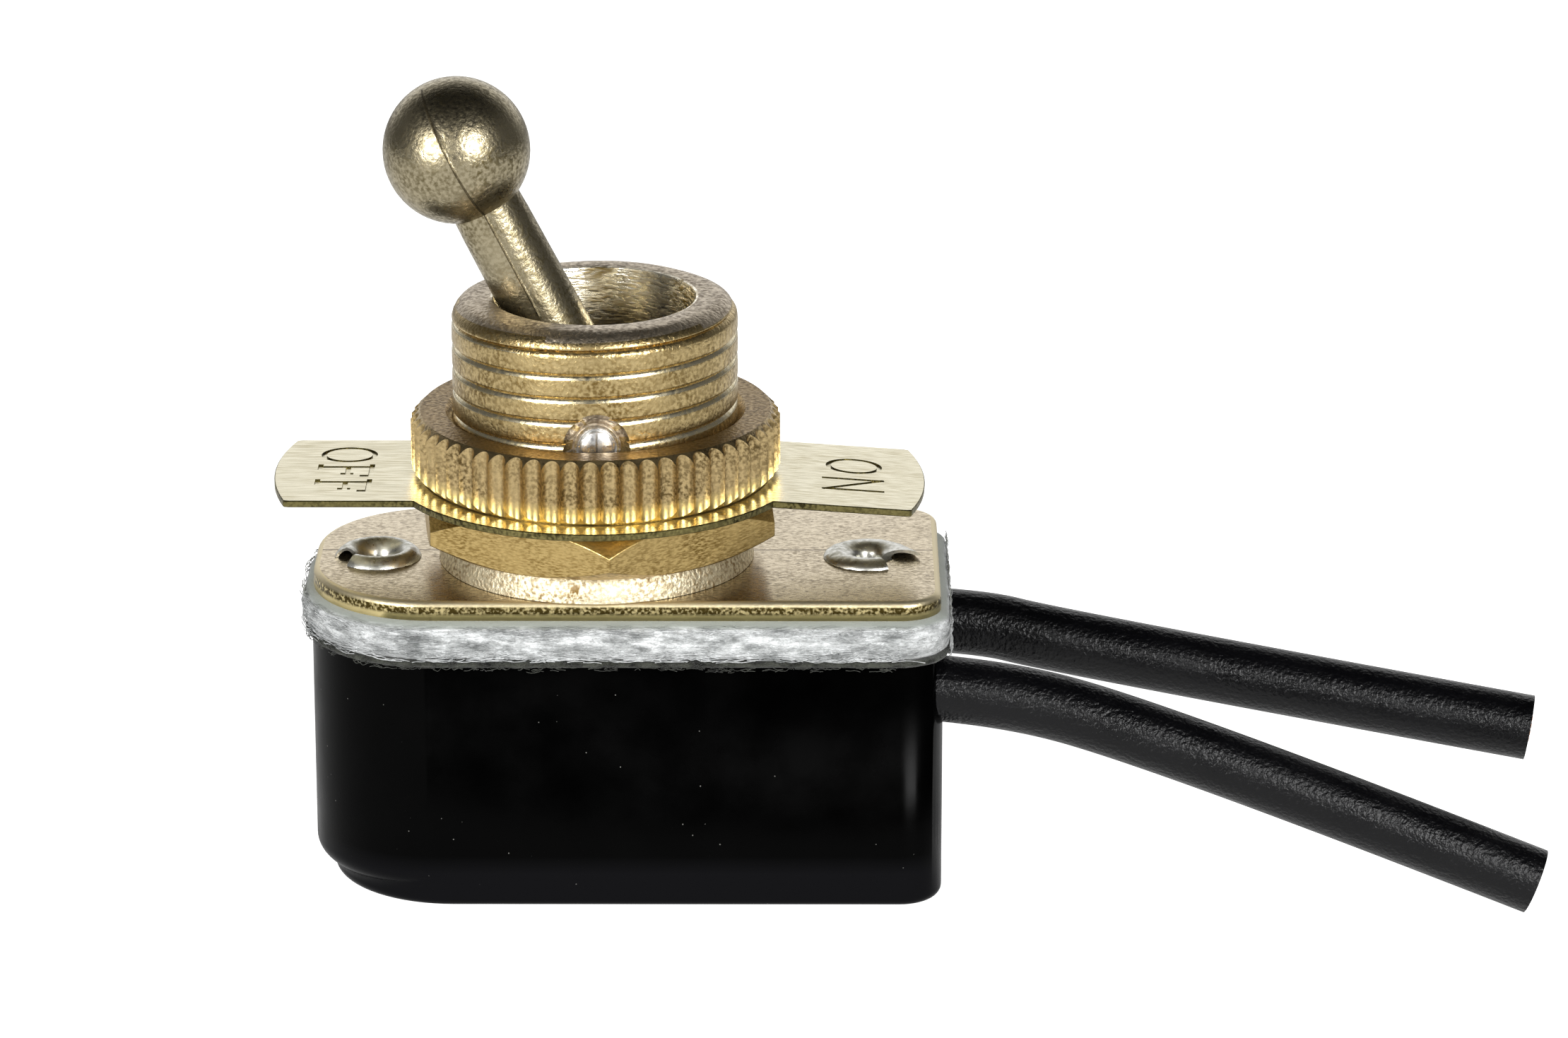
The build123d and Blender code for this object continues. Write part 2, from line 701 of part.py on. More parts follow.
pieces = {
    "housing": housing,
    "fibre_sheet": fibre_sheet,
    "felt_gasket": felt_gasket,
    "mounting_plate": mounting_plate,
    "bushing": bushing,
    "hex_nut": hex_nut,
    "indicator_plate": indicator_plate,
    "ring_nut": ring_nut,
    "lever": lever,
    "pivot_pin": pivot_pin,
    "plunger": plunger,
    "plunger_spring": plunger_spring,
    "rocker": rocker,
    "moving_contact": moving_contact,
    "fixed_contact": fixed_contact,
    "common_terminal": common_terminal,
    "fixed_terminal": fixed_terminal,
    "eyelet_left": eyelet_left,
    "eyelet_right": eyelet_right,
    "lead_front": lead_front,
    "lead_rear": lead_rear,
    "conductor_front": conductor_front,
    "conductor_rear": conductor_rear,
}
os.makedirs("parts", exist_ok=True)
for name, piece in pieces.items():
    piece.part.label = name
    export_step(piece.part, f"parts/{name}.step")
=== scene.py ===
# %% [markdown]
# # A brass toggle switch
# A small bushing-mounted light switch: a black moulded housing, a felt gasket under a
# brass plate, a threaded bushing with a hex nut, an ON/OFF tag and a toothed ring nut,
# a plated lever with a ball end, and two black leads. The CAD model gives the places,
# sizes and motion. This lesson dresses it: it models the forms that carry the looks,
# such as thread, teeth and felt, and gives every surface its material.

# %% Bring in the CAD frame
import math
import random

import bmesh
import bpy
from mathutils import Matrix, Vector, noise


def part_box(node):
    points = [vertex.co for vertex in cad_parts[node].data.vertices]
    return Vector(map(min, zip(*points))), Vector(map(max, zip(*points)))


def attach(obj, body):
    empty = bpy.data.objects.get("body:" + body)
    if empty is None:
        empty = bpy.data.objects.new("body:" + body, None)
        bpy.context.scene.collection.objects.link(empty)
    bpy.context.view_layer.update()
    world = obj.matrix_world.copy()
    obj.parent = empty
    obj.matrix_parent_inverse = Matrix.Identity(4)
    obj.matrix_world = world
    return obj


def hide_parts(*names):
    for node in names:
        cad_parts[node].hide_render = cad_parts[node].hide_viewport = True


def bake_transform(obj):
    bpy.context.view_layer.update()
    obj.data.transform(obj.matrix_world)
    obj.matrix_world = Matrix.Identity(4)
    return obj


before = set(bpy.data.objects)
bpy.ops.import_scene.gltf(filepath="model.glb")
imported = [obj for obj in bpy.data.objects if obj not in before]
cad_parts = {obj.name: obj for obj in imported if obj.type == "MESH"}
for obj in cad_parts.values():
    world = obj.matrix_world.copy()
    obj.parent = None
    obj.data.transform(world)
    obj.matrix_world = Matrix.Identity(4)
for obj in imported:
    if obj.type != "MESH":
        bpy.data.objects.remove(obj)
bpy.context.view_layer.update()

MM = 0.001
random.seed(7)


def box_mm(node):
    """Lowest and highest corner of a CAD node, in millimetres."""
    low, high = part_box(node)
    return Vector(low) / MM, Vector(high) / MM


print("CAD nodes:", len(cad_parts))

# %% [markdown]
# ## Heights of the stack
# On the real switch every flat piece is threaded over the bushing, so a piece starts
# where the one below ends. The frame already holds these heights, and reading them
# keeps the dressed pieces on the CAD ones. The few sizes below are the CAD's own too.

# %% Read the heights
housing_top = box_mm("housing")[1].z
felt_z, plate_z = box_mm("felt_gasket")[0].z, box_mm("felt_gasket")[1].z
plate_top = box_mm("mounting_plate")[1].z
nut_z, tag_z = box_mm("hex_nut")[0].z, box_mm("hex_nut")[1].z
ring_z, ring_top = box_mm("ring_nut")[0].z, box_mm("ring_nut")[1].z
bushing_low, rim_z = box_mm("bushing")[0].z, box_mm("bushing")[1].z
pin_low, pin_high = box_mm("pivot_pin")
pivot_z = (pin_low.z + pin_high.z) / 2
thread_radius = 6.0
bore_radius = 4.23
plate_half_depth = 6.4
plate_left, plate_right = -11.92, 14.5
left_corner_radius, right_corner_radius = 5.2, 1.7
print(f"plate top {plate_top:.2f}, nut {nut_z:.2f}, tag {tag_z:.2f}, rim {rim_z:.2f} mm")

# %% [markdown]
# ## Camera
# The photograph was taken with a long lens from a little above, almost straight on.
# A long lens keeps the two tabs of the tag nearly the same size. The place, the tilt
# and the focal length below put the model's edges on the photograph's.


# %% Set the camera
def show(name, data):
    """Makes an object of a mesh, a curve, a lamp or the camera, and puts it in the scene."""
    made = bpy.data.objects.new(name, data)
    bpy.context.scene.collection.objects.link(made)
    return made


photo_width = 2219
focal_pixels = 9106.8
sensor_width = 36
camera_place = (8.593, -258.398, 101.219)
tilt_down, pan_left = math.radians(18.435), math.radians(0.1464)
camera_data = bpy.data.cameras.new("camera")
camera_data.sensor_width = sensor_width
camera_data.lens = sensor_width * focal_pixels / photo_width
camera_data.clip_start = 0.01
camera = show("camera", camera_data)
camera.location = Vector(camera_place) * MM
camera.rotation_euler = (math.pi / 2 - tilt_down, 0, pan_left)
bpy.context.scene.camera = camera
print(f"lens {camera_data.lens:.1f} mm")

# %% [markdown]
# ## Helpers for materials
# A colour is written as it would be picked from a screen, as an sRGB hex value, and one
# function turns it to the linear values that a shader works with. Another adds one node
# with its settings and links. Object coordinates are in metres, so a pattern's scale is
# worked out from its real size in millimetres. Several surfaces here turn to another
# colour over a short height: the bore with painted shade, the ring nut's teeth with a painted glow,
# the housing's foot with a painted reflection and the felt with a grey band, so the nodes for that have a
# function too.


# %% Make the material helpers
def srgb(code):
    """Linear colour of a hex value such as C8A050."""
    parts = [int(code[i : i + 2], 16) / 255 for i in (0, 2, 4)]
    return tuple(p / 12.92 if p <= 0.04045 else ((p + 0.055) / 1.055) ** 2.4 for p in parts) + (1.0,)


def grain(size):
    """Texture scale whose features are about this many millimetres wide."""
    return 1 / (size * MM)


def add(tree, kind, inputs=(), **settings):
    """Adds one shader node with its settings.

    Each named input gets a value, a link from an output, or one from a node's first output in use.
    """
    made = tree.nodes.new("ShaderNode" + kind)
    for name, value in settings.items():
        setattr(made, name, value)
    for name, value in dict(inputs).items():
        if isinstance(value, bpy.types.Node):
            value = next(output for output in value.outputs if output.enabled)
        if isinstance(value, bpy.types.NodeSocket):
            tree.links.new(value, made.inputs[name])
        else:
            made.inputs[name].default_value = value
    return made


def new_material(name):
    """A material, its empty node tree, and the piece's own coordinates."""
    material = bpy.data.materials.new(name)
    material.use_nodes = True
    tree = material.node_tree
    tree.nodes.clear()
    place = add(tree, "TexCoord").outputs["Object"]
    return material, tree, place


def turning(tree, place, colour, change):
    """A colour that turns to another. The change is two heights and the colour at the second."""
    start, end, other = change
    height = add(tree, "SeparateXYZ", {0: place}).outputs["Z"]
    share = add(tree, "MapRange", {"Value": height, 1: start * MM, 2: end * MM})
    return add(tree, "Mix", {0: share, 6: colour, 7: srgb(other)}, data_type="RGBA")


print("helpers ready")

# %% [markdown]
# ## Brass
# The brass pieces are each finished in their own way: the bushing and hex nut are turned
# and etched, so they sparkle in fine grains; the ring nut is the same metal, deeper in
# tone; the plate and tag are rolled sheet, so their grain runs one way. One function
# makes them all from a colour pair, a roughness and the stretch of the grain. Metal has
# no colour of its own beyond its reflection, so grain, tarnish and roughness do the work.


# %% Make the metal
def brass(
    name, bright, dull, roughness, grit, stretch=(1, 1, 1), bump=0.25, depth=0.02, change=None, marks=None
):
    """Metal whose grains catch the light one by one, with duller patches of tarnish.

    Marks are the place of a line scribed along the sheet and the colour of it and of small flecks.
    """
    tarnish_size, fleck_size = 1.6, 0.3
    line_core, line_edge = 0.06, 0.11
    smoothest, roughest = roughness - 0.07, roughness + 0.09
    material, tree, place = new_material(name)
    along = add(tree, "Mapping", {"Vector": place, "Scale": stretch})
    fine = add(tree, "TexNoise", {"Vector": along, "Scale": grain(grit), "Detail": 2.0})
    patches = add(tree, "TexNoise", {"Vector": place, "Scale": grain(tarnish_size), "Detail": 4.0})
    worn = add(tree, "MapRange", {"Value": patches, 1: 0.35, 2: 0.7, 3: 0.35, 4: 1.0})
    speck = add(tree, "MapRange", {"Value": fine, 1: 0.38, 2: 0.62})
    dulled = add(tree, "Math", {0: worn, 1: speck}, operation="MULTIPLY")
    colour = add(tree, "Mix", {0: dulled, 6: srgb(bright), 7: srgb(dull)}, data_type="RGBA")
    if change:
        colour = turning(tree, place, colour, change)
    if marks:
        line_y, mark = marks
        spots = add(tree, "TexNoise", {"Vector": place, "Scale": grain(fleck_size), "Detail": 3.0})
        flecks = add(tree, "MapRange", {"Value": spots, 1: 0.62, 2: 0.7, 4: 0.7})
        across = add(tree, "SeparateXYZ", {0: place}).outputs["Y"]
        off = add(tree, "Math", {0: across, 1: line_y * MM}, operation="SUBTRACT")
        far = add(tree, "Math", {0: off}, operation="ABSOLUTE")
        line = add(tree, "MapRange", {"Value": far, 1: line_edge * MM, 2: line_core * MM, 4: 0.75})
        marked = add(tree, "Math", {0: flecks, 1: line}, operation="MAXIMUM")
        colour = add(tree, "Mix", {0: marked, 6: colour, 7: srgb(mark)}, data_type="RGBA")
    rough = add(tree, "MapRange", {"Value": fine, 1: 0.3, 2: 0.7, 3: smoothest, 4: roughest})
    raised = add(tree, "Bump", {"Height": fine, "Strength": bump, "Distance": depth * MM})
    look = {"Base Color": colour, "Metallic": 1.0, "Roughness": rough, "Normal": raised}
    shader = add(tree, "BsdfPrincipled", look)
    add(tree, "OutputMaterial", {"Surface": shader})
    return material


print("metal ready")

# %% Make the brass finishes
# Turned and etched brass: warm gold that breaks into grains, drawn a little coarser than they are
turned_brass = brass("turned brass", "CDB683", "7C6538", 0.32, 0.17, bump=1.0, depth=0.03)
# The bushing's faced rim: pinkish grey and grainy from handling
faced_brass = brass("faced brass", "CFC1AA", "81715C", 0.4, 0.18, bump=1.0, depth=0.04)
# Its bore: paler and shinier, with rings from the drill, and darker further down with painted shade where it
# runs deep
painted_shade_below = (rim_z - 1.5, rim_z - 3.2, "7A6738")
drilled_round = (0.45, 0.45, 1.8)
bored_brass = brass(
    "bored brass", "FFF9E6", "9A8450", 0.27, 0.22, drilled_round, bump=1.0, depth=0.03, change=painted_shade_below
)
# Its boss: blasted, so the light breaks up in sparkling grains
blasted_brass = brass("blasted brass", "F5EACB", "84693A", 0.52, 0.16, bump=1.0, depth=0.05)
# Its thread's upper edges: worn smooth, and painted pale as a highlight, so they show as thin white lines
worn_highlight_brass = brass("worn brass with painted highlight", "F8ECCB", "DCC997", 0.24, 0.2, bump=0.2)
# Facets milled across: fine lines run round the nut
milled_brass = brass("milled brass", "C9AE73", "785F2E", 0.34, 0.1, stretch=(0.45, 0.45, 1.5), bump=0.4)
# The ring nut's teeth: brown and grainy above, with a painted pale glow at the foot that stands in for the
# tag's light reflected on them
painted_glow_below = (ring_z + 0.9, ring_z + 0.15, "F6DE9A")
toothed_brass = brass(
    "toothed brass", "C6AE7E", "5C4B2C", 0.34, 0.15, bump=1.0, depth=0.012, change=painted_glow_below
)
# The ring nut's upper face: browner and duller
lathed_brass = brass("lathed brass", "A58B5C", "65512F", 0.42, 0.17, bump=1.0, depth=0.03)
# Rolled sheet of the plate: pinkish and dull from handling, grain along its length, a scribed line
scribed = (0.45, "6A5A40")
rolled_brass = brass("rolled brass", "D2C3A6", "8C7B5C", 0.25, 0.1, stretch=(0.55, 1, 1), marks=scribed)
# Pale brushed sheet of the tag: fine lines along it spread the light
brushed_brass = brass("brushed pale brass", "E0D9BE", "C4B994", 0.26, 0.07, stretch=(0.06, 1, 1), bump=0.2)
# The tag's cut edge and the walls of its letters: dark with age
aged_brass = brass("aged brass", "80774C", "050402", 0.38, 0.15, bump=1.0, depth=0.03)
print("brass finishes:", sum("brass" in material.name for material in bpy.data.materials))

# %% [markdown]
# ## The plate's sheared rim
# A blade that shears sheet metal leaves two bands on the cut: a smooth one that it
# burnished, and a rough one where the metal broke. The height on the rim tells which is
# which, so the material reads it: pale gold below, dark specks above, and over them the
# upper edge, painted pale as a highlight.

# %% Make the rim's finish
burnish_top, highlight_low, fade = plate_z + 0.2, plate_top - 0.24, 0.12
pit_size, pit_depth = 0.14, 0.03
sheared_brass, tree, place = new_material("sheared brass")
height = add(tree, "SeparateXYZ", {0: place}).outputs["Z"]
over_burnish = add(tree, "MapRange", {"Value": height, 1: burnish_top * MM, 2: (burnish_top + fade) * MM})
below_highlight = add(tree, "MapRange", {"Value": height, 1: (highlight_low + fade) * MM, 2: highlight_low * MM})
band = add(tree, "Math", {0: over_burnish, 1: below_highlight}, operation="MULTIPLY")
breaks = add(tree, "TexNoise", {"Vector": place, "Scale": grain(pit_size), "Detail": 3.0})
pits = add(tree, "MapRange", {"Value": breaks, 1: 0.36, 2: 0.54})
dark = add(tree, "Math", {0: band, 1: pits}, operation="MULTIPLY")
tone = add(tree, "Mix", {0: dark, 6: srgb("D8C791"), 7: srgb("4C401E")}, data_type="RGBA")
# The upper edge is painted pale as a highlight
tone = add(tree, "Mix", {0: below_highlight, 6: srgb("EBDDB8"), 7: tone}, data_type="RGBA")
rough = add(tree, "MapRange", {"Value": below_highlight, 3: 0.46, 4: 0.34})
raised = add(tree, "Bump", {"Height": breaks, "Strength": 0.45, "Distance": pit_depth * MM})
look = {"Base Color": tone, "Metallic": 1.0, "Roughness": rough, "Normal": raised}
shader = add(tree, "BsdfPrincipled", look)
add(tree, "OutputMaterial", {"Surface": shader})
print("rim finish: 1")

# %% [markdown]
# ## Plating, nickel, steel and copper
# The lever is a die casting with thin nickel plating, tanned by age: a greenish grey
# with a faintly hammered skin, darker along the mould line. The eyelets are bright
# nickel, the pin is plain steel, and the leads' strands are copper.

# %% Make the other metals
# Plating over a casting: soft greenish reflections, dimpled
lever_plating = brass("tanned nickel plating", "B3A88C", "675C3E", 0.31, 0.17, bump=1.0)
# The same along the mould line, coloured darker: a fine dark line
dark_seam_plating = brass("darker nickel plating", "70664F", "342E20", 0.42, 0.15, bump=0.6)
# Plated tube: cool and bright, with soft lights on its rolls
bright_nickel = brass("bright nickel", "D6D5CE", "A9A89C", 0.32, 0.2, bump=0.3)
# Drawn wire and pin: nearly white, smooth
plain_steel = brass("drawn steel", "F8F7F5", "BDBBB7", 0.28, 0.2, bump=0.12)
# Drawn strands: orange-pink, smooth
strand_copper = brass("drawn copper", "D9925F", "A8663C", 0.3, 0.2, bump=0.12)
print("other metals: 5")

# %% [markdown]
# ## Mouldings
# The housing is pressed phenolic: nearly black, smooth, with dust and the odd fibre on
# it. The leads have a vinyl cover with a fine orange-peel skin, which breaks the light
# along them into a soft, granular line. The plunger inside is ivory nylon.


# %% Make the plastic
def moulding(name, colour, shade, roughness, grit, bump, dust, level, change=None):
    """Plastic with a fine skin and sparse pale dust."""
    cloud_size, dust_spacing, skin_depth = 2.5, 0.75, 0.08
    smoothest, roughest = roughness - 0.05, roughness + 0.08
    material, tree, place = new_material(name)
    skin = add(tree, "TexNoise", {"Vector": place, "Scale": grain(grit), "Detail": 3.0})
    cloud = add(tree, "TexNoise", {"Vector": place, "Scale": grain(cloud_size), "Detail": 4.0})
    specks = add(tree, "TexVoronoi", {"Vector": place, "Scale": grain(dust_spacing)})
    shown = add(tree, "MapRange", {"Value": specks.outputs["Distance"], 1: dust, 2: dust * 0.4})
    toned = add(tree, "Mix", {0: cloud, 6: srgb(colour), 7: srgb(shade)}, data_type="RGBA")
    if change:
        toned = turning(tree, place, toned, change)
    dusty = add(tree, "Mix", {0: shown, 6: toned, 7: srgb("757470")}, data_type="RGBA")
    rough = add(tree, "MapRange", {"Value": cloud, 1: 0.3, 2: 0.7, 3: smoothest, 4: roughest})
    raised = add(tree, "Bump", {"Height": skin, "Strength": bump, "Distance": skin_depth * MM})
    look = {"Base Color": dusty, "Roughness": rough, "IOR": 1.5, "Specular IOR Level": level}
    shader = add(tree, "BsdfPrincipled", {**look, "Normal": raised})
    add(tree, "OutputMaterial", {"Surface": shader})
    return material


print("plastic ready")

# %% Make the mouldings
# Pressed phenolic: deep black, a dull shine, dust specks, and a paler band along its foot painted in for the
# floor's reflection
painted_reflection_foot = (2.3, 1.5, "0C0C0E")
black_phenolic = moulding(
    "pressed black phenolic", "000000", "020202", 0.25, 0.3, 0.02, 0.045, 0.04, change=painted_reflection_foot
)
# Extruded vinyl: satin black with an orange-peel skin
black_vinyl = moulding("extruded black vinyl", "030304", "060608", 0.3, 0.18, 0.75, 0.0, 0.27)
# Moulded nylon of the plunger, inside: ivory with a dull shine
inner_nylon = moulding("moulded nylon", "D8D4C6", "C9C4B2", 0.45, 0.4, 0.04, 0.0, 0.5)
print("black mouldings: 2, nylon: 1")

# %% [markdown]
# ## Felt
# The gasket is pressed wool felt: matte white, and made of fibres that lie along its
# edge. The layer under it is a grey-olive pad of the same stuff. Long, stretched noise
# gives the wisps, and separate strands are modelled later for the outline.


# %% Make the felts
def felt(name, pale, deep, fibre, stretch, change=None):
    """Matte wool whose fibres lie along the edge."""
    lump_size, wisp_depth = 0.45, 0.08
    material, tree, place = new_material(name)
    along = add(tree, "Mapping", {"Vector": place, "Scale": stretch})
    tangle = {"Vector": along, "Scale": grain(fibre), "Detail": 5.0, "Roughness": 0.7, "Distortion": 1.2}
    wisps = add(tree, "TexNoise", tangle)
    lumps = add(tree, "TexNoise", {"Vector": along, "Scale": grain(lump_size), "Detail": 3.0})
    both = add(tree, "Math", {0: wisps, 1: lumps}, operation="MULTIPLY")
    shown = add(tree, "MapRange", {"Value": both, 1: 0.12, 2: 0.34})
    colour = add(tree, "Mix", {0: shown, 6: srgb(deep), 7: srgb(pale)}, data_type="RGBA")
    if change:
        colour = turning(tree, place, colour, change)
    raised = add(tree, "Bump", {"Height": wisps, "Strength": 0.7, "Distance": wisp_depth * MM})
    look = {"Base Color": colour, "Roughness": 0.95, "Specular IOR Level": 0.15, "Normal": raised}
    shader = add(tree, "BsdfPrincipled", {**look, "Sheen Weight": 0.25})
    add(tree, "OutputMaterial", {"Surface": shader})
    return material


# Wool felt: white wisps over grey, turning to a smooth grey band along its top, just under the plate
grey_band_above = (plate_z - 0.27, plate_z - 0.12, "999E97")
white_felt = felt("pressed white wool felt", "E2E4E4", "6C6F6E", 0.11, (0.4, 0.55, 1), grey_band_above)
# Fibre pad: the same stuff in olive, speckled
olive_felt = felt("grey-olive fibre pad", "484A42", "030302", 0.09, (0.8, 0.9, 1))
print("felts: 2")

# %% [markdown]
# ## Helpers for shapes
# Most pieces here are turned or stamped, so they can be laid up as rings: a circle of
# vertices is extruded ring by ring, and each ring is placed by a rule that says where
# the point at a given turn lies. A hex nut, a toothed nut and a plate's outline then
# differ only in their rule. Thread, lever and pin are profiles, spun. Everything is drawn
# in millimetres about the bushing's axis, and one function scales it to metres and hands
# it to the frame.


# %% Make the ring helpers
def around(radius, height):
    """Rule of a plain circle."""
    return lambda turn: Vector((radius * math.cos(turn), radius * math.sin(turn), height))


def outline(turn, margin, height):
    """Point of the switch's outline that faces the given turn: its corners are wide on the left."""
    facing = Vector((math.cos(turn), math.sin(turn), 0))
    radius = right_corner_radius if facing.x > 0 else left_corner_radius
    middle = plate_right - radius if facing.x > 0 else plate_left + radius
    side = math.copysign(plate_half_depth - radius, facing.y)
    return Vector((middle, side, height)) + facing * (radius + margin)


def weld(bm, gap=0.0005):
    """Merges vertices that lie closer than the gap."""
    bmesh.ops.remove_doubles(bm, verts=bm.verts, dist=gap)


def laid(count, rings):
    """A circle extruded ring by ring, the last closed on the first.

    A ring is a radius and a height, or a rule that gives the point at a turn.
    """
    bm = bmesh.new()
    rules = [around(*ring) if isinstance(ring, tuple) else ring for ring in rings]
    layer = bm.verts.layers.float.new("turn")
    verts = bmesh.ops.create_circle(bm, segments=count, radius=1)["verts"]
    for vert in verts:
        vert[layer] = math.atan2(vert.co.y, vert.co.x)
    ring = list({edge for vert in verts for edge in vert.link_edges})
    for level, rule in enumerate([*rules, rules[0]]):
        if level:
            ring, verts = extrude_ring(bm, ring)
        for vert in verts:
            vert.co = rule(vert[layer])
    weld(bm)
    return bm


def extrude_ring(bm, ring):
    """Extrudes a loop of edges and returns the new loop and its vertices."""
    made = bmesh.ops.extrude_edge_only(bm, edges=ring)["geom"]
    verts = {item for item in made if isinstance(item, bmesh.types.BMVert)}
    edges = [item for item in made if isinstance(item, bmesh.types.BMEdge) and verts.issuperset(item.verts)]
    return edges, verts


def spun(points, facing, steps, turns=1, lift=0.0, join=0.0005):
    """A profile of radii and heights, spun from the side that it faces, with a lift per turn."""
    bm = bmesh.new()
    column = [bm.verts.new((facing[0] * radius, facing[1] * radius, height)) for radius, height in points]
    profile = [bm.edges.new(pair) for pair in zip(column, column[1:])]
    bmesh.ops.spin(
        bm, geom=column + profile, cent=(0, 0, 0), axis=(0, 0, 1), dvec=(0, 0, lift / steps),
        angle=math.tau * turns, steps=steps * turns, use_merge=not lift,
    )
    weld(bm, join)
    return bm


print("ring helpers ready")


# %% Make the helpers that carve, copy and hand over
def carve(bm, cutter, crossing=False):
    """Takes one shape out of another with a Boolean. The cutter's own pieces may be crossing."""
    pair = []
    for shape in (bm, cutter):
        bmesh.ops.recalc_face_normals(shape, faces=shape.faces)
        mesh = bpy.data.meshes.new("carving")
        shape.to_mesh(mesh)
        shape.free()
        pair.append(show("carving", mesh))
    cut = pair[0].modifiers.new("carve", "BOOLEAN")
    cut.object = pair[1]
    cut.solver = "EXACT"
    cut.use_self = crossing
    result = bmesh.new()
    result.from_object(pair[0], bpy.context.evaluated_depsgraph_get())
    for spent in pair:
        bpy.data.objects.remove(spent)
    return result


def make_piece(name, bm, node, materials, sharp=35, place=Matrix(), body="switch_body"):
    """Scales a shape to metres, smooths its shading and hands it to its body, if it has one."""
    weld(bm)
    bmesh.ops.recalc_face_normals(bm, faces=bm.faces)
    bmesh.ops.transform(bm, matrix=Matrix.Scale(MM, 4) @ place, verts=bm.verts)
    mesh = bpy.data.meshes.new(name)
    bm.to_mesh(mesh)
    bm.free()
    for material in materials:
        mesh.materials.append(material)
    mesh.shade_smooth()
    mesh.set_sharp_from_angle(angle=math.radians(sharp))
    made = show(name, mesh)
    if body:
        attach(made, body)
    if node:
        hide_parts(node)
    print(f"{name}: {len(mesh.polygons)} faces")
    return made


def merged_copy(node):
    """A CAD node's mesh as a bmesh in millimetres, its loose triangles joined."""
    bm = bmesh.new()
    bm.from_mesh(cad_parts[node].data)
    bm.transform(Matrix.Scale(1 / MM, 4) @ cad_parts[node].matrix_world)
    weld(bm)
    return bm


print("shape helpers ready")

# %% [markdown]
# ## Leads
# Each lead is stranded wire in a vinyl cover that leaves the housing's end wall straight
# and then sags a little to its cut end. A curve with a round bevel is the natural cord:
# its control points are the CAD route's own, so the picture and the simulation agree.
# The strands in the cut end are a small piece of their own.


# %% Make the cord helpers
def new_curve(name, radius, sides, steps):
    """An empty round cord, with how finely it is divided round it and along it."""
    curve = bpy.data.curves.new(name, "CURVE")
    curve.dimensions = "3D"
    curve.bevel_depth = radius * MM
    curve.bevel_resolution = sides
    curve.resolution_u = steps
    return curve


def run_spline(curve, points):
    """Adds a smooth line along points in millimetres."""
    spline = curve.splines.new("NURBS")
    spline.points.add(len(points) - 1)
    for point, place in zip(spline.points, points):
        point.co = (*(Vector(place) * MM), 1)
    spline.order_u = 3
    spline.use_endpoint_u = True


print("cord helpers ready")

# %% Make the strands
strand_radius = 0.15
strand_length, strand_sunk = 0.5, 0.2


def strand_bundle(name, end, facing):
    """Nineteen copper strands that show in a cut end."""
    bm = bmesh.new()
    for circle, count in enumerate((1, 6, 12)):
        for step in range(count):
            turn = math.tau * step / count
            shift = Vector((math.cos(turn), math.sin(turn), 0)) * circle * 2 * strand_radius
            bmesh.ops.create_cone(
                bm, cap_ends=True, segments=10, radius1=strand_radius, radius2=strand_radius * 0.85,
                depth=strand_length, matrix=Matrix.Translation(shift),
            )
    turned = facing.to_track_quat("Z", "Y").to_matrix().to_4x4()
    place = Matrix.Translation(end - facing * strand_sunk) @ turned
    return make_piece(name, bm, None, [strand_copper], place=place)


print(f"strand: {2 * strand_radius:.2f} mm thick")

# %% Run the leads
lead_diameter = 2.8
lead_routes = {
    "front": [(9, -4.2, 9.25), (15.6, -4.2, 9.25), (24, -5.25, 7.2), (39.45, -7.2, 1.5)],
    "rear": [(9, 4.2, 9.25), (15.6, 4.2, 9.25), (20, 3.65, 8.25), (39.95, 1.2, 5.27)],
}
for side, route in lead_routes.items():
    curve = new_curve(f"lead_{side}_cover", lead_diameter / 2, 10, 24)
    curve.use_fill_caps = True
    run_spline(curve, route)
    curve.materials.append(black_vinyl)
    lead = show(f"lead_{side}_cover", curve)
    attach(lead, "switch_body")
    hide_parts(f"lead_{side}")
    length = sum((Vector(b) - Vector(a)).length for a, b in zip(route, route[1:]))
    facing = (Vector(route[-1]) - Vector(route[-2])).normalized()
    strands = strand_bundle(f"lead_{side}_strands", Vector(route[-1]), facing)
    print(f"lead {side}: {length:.1f} mm")

# %% [markdown]
# ## Housing and plate
# Both shapes are right in the CAD. Their meshes are loose triangles, so a merged copy of
# each is shaded smooth and takes the place of the node. The plate's copy gets two
# finishes: its flat face is dull rolled sheet, its rim was sheared and burnished.

# %% Dress the housing and the plate
housing_copy = merged_copy("housing")
make_piece("moulded_housing", housing_copy, "housing", [black_phenolic])
plate_copy = merged_copy("mounting_plate")
plate_copy.normal_update()
for face in plate_copy.faces:
    face.material_index = 0 if face.normal.z > 0.98 else 1
plate_finishes = [rolled_brass, sheared_brass]
make_piece("rolled_plate", plate_copy, "mounting_plate", plate_finishes)

# %% [markdown]
# ## Felt gasket and fibre pad
# The gasket is squeezed by the plate, so its edge bulges and no two millimetres of it
# are alike. It is laid up as rings along the switch's outline, its long edges are
# divided, and smooth noise moves the surface. Loose strands are thin curves made a
# mesh: they break the outline as wool does.


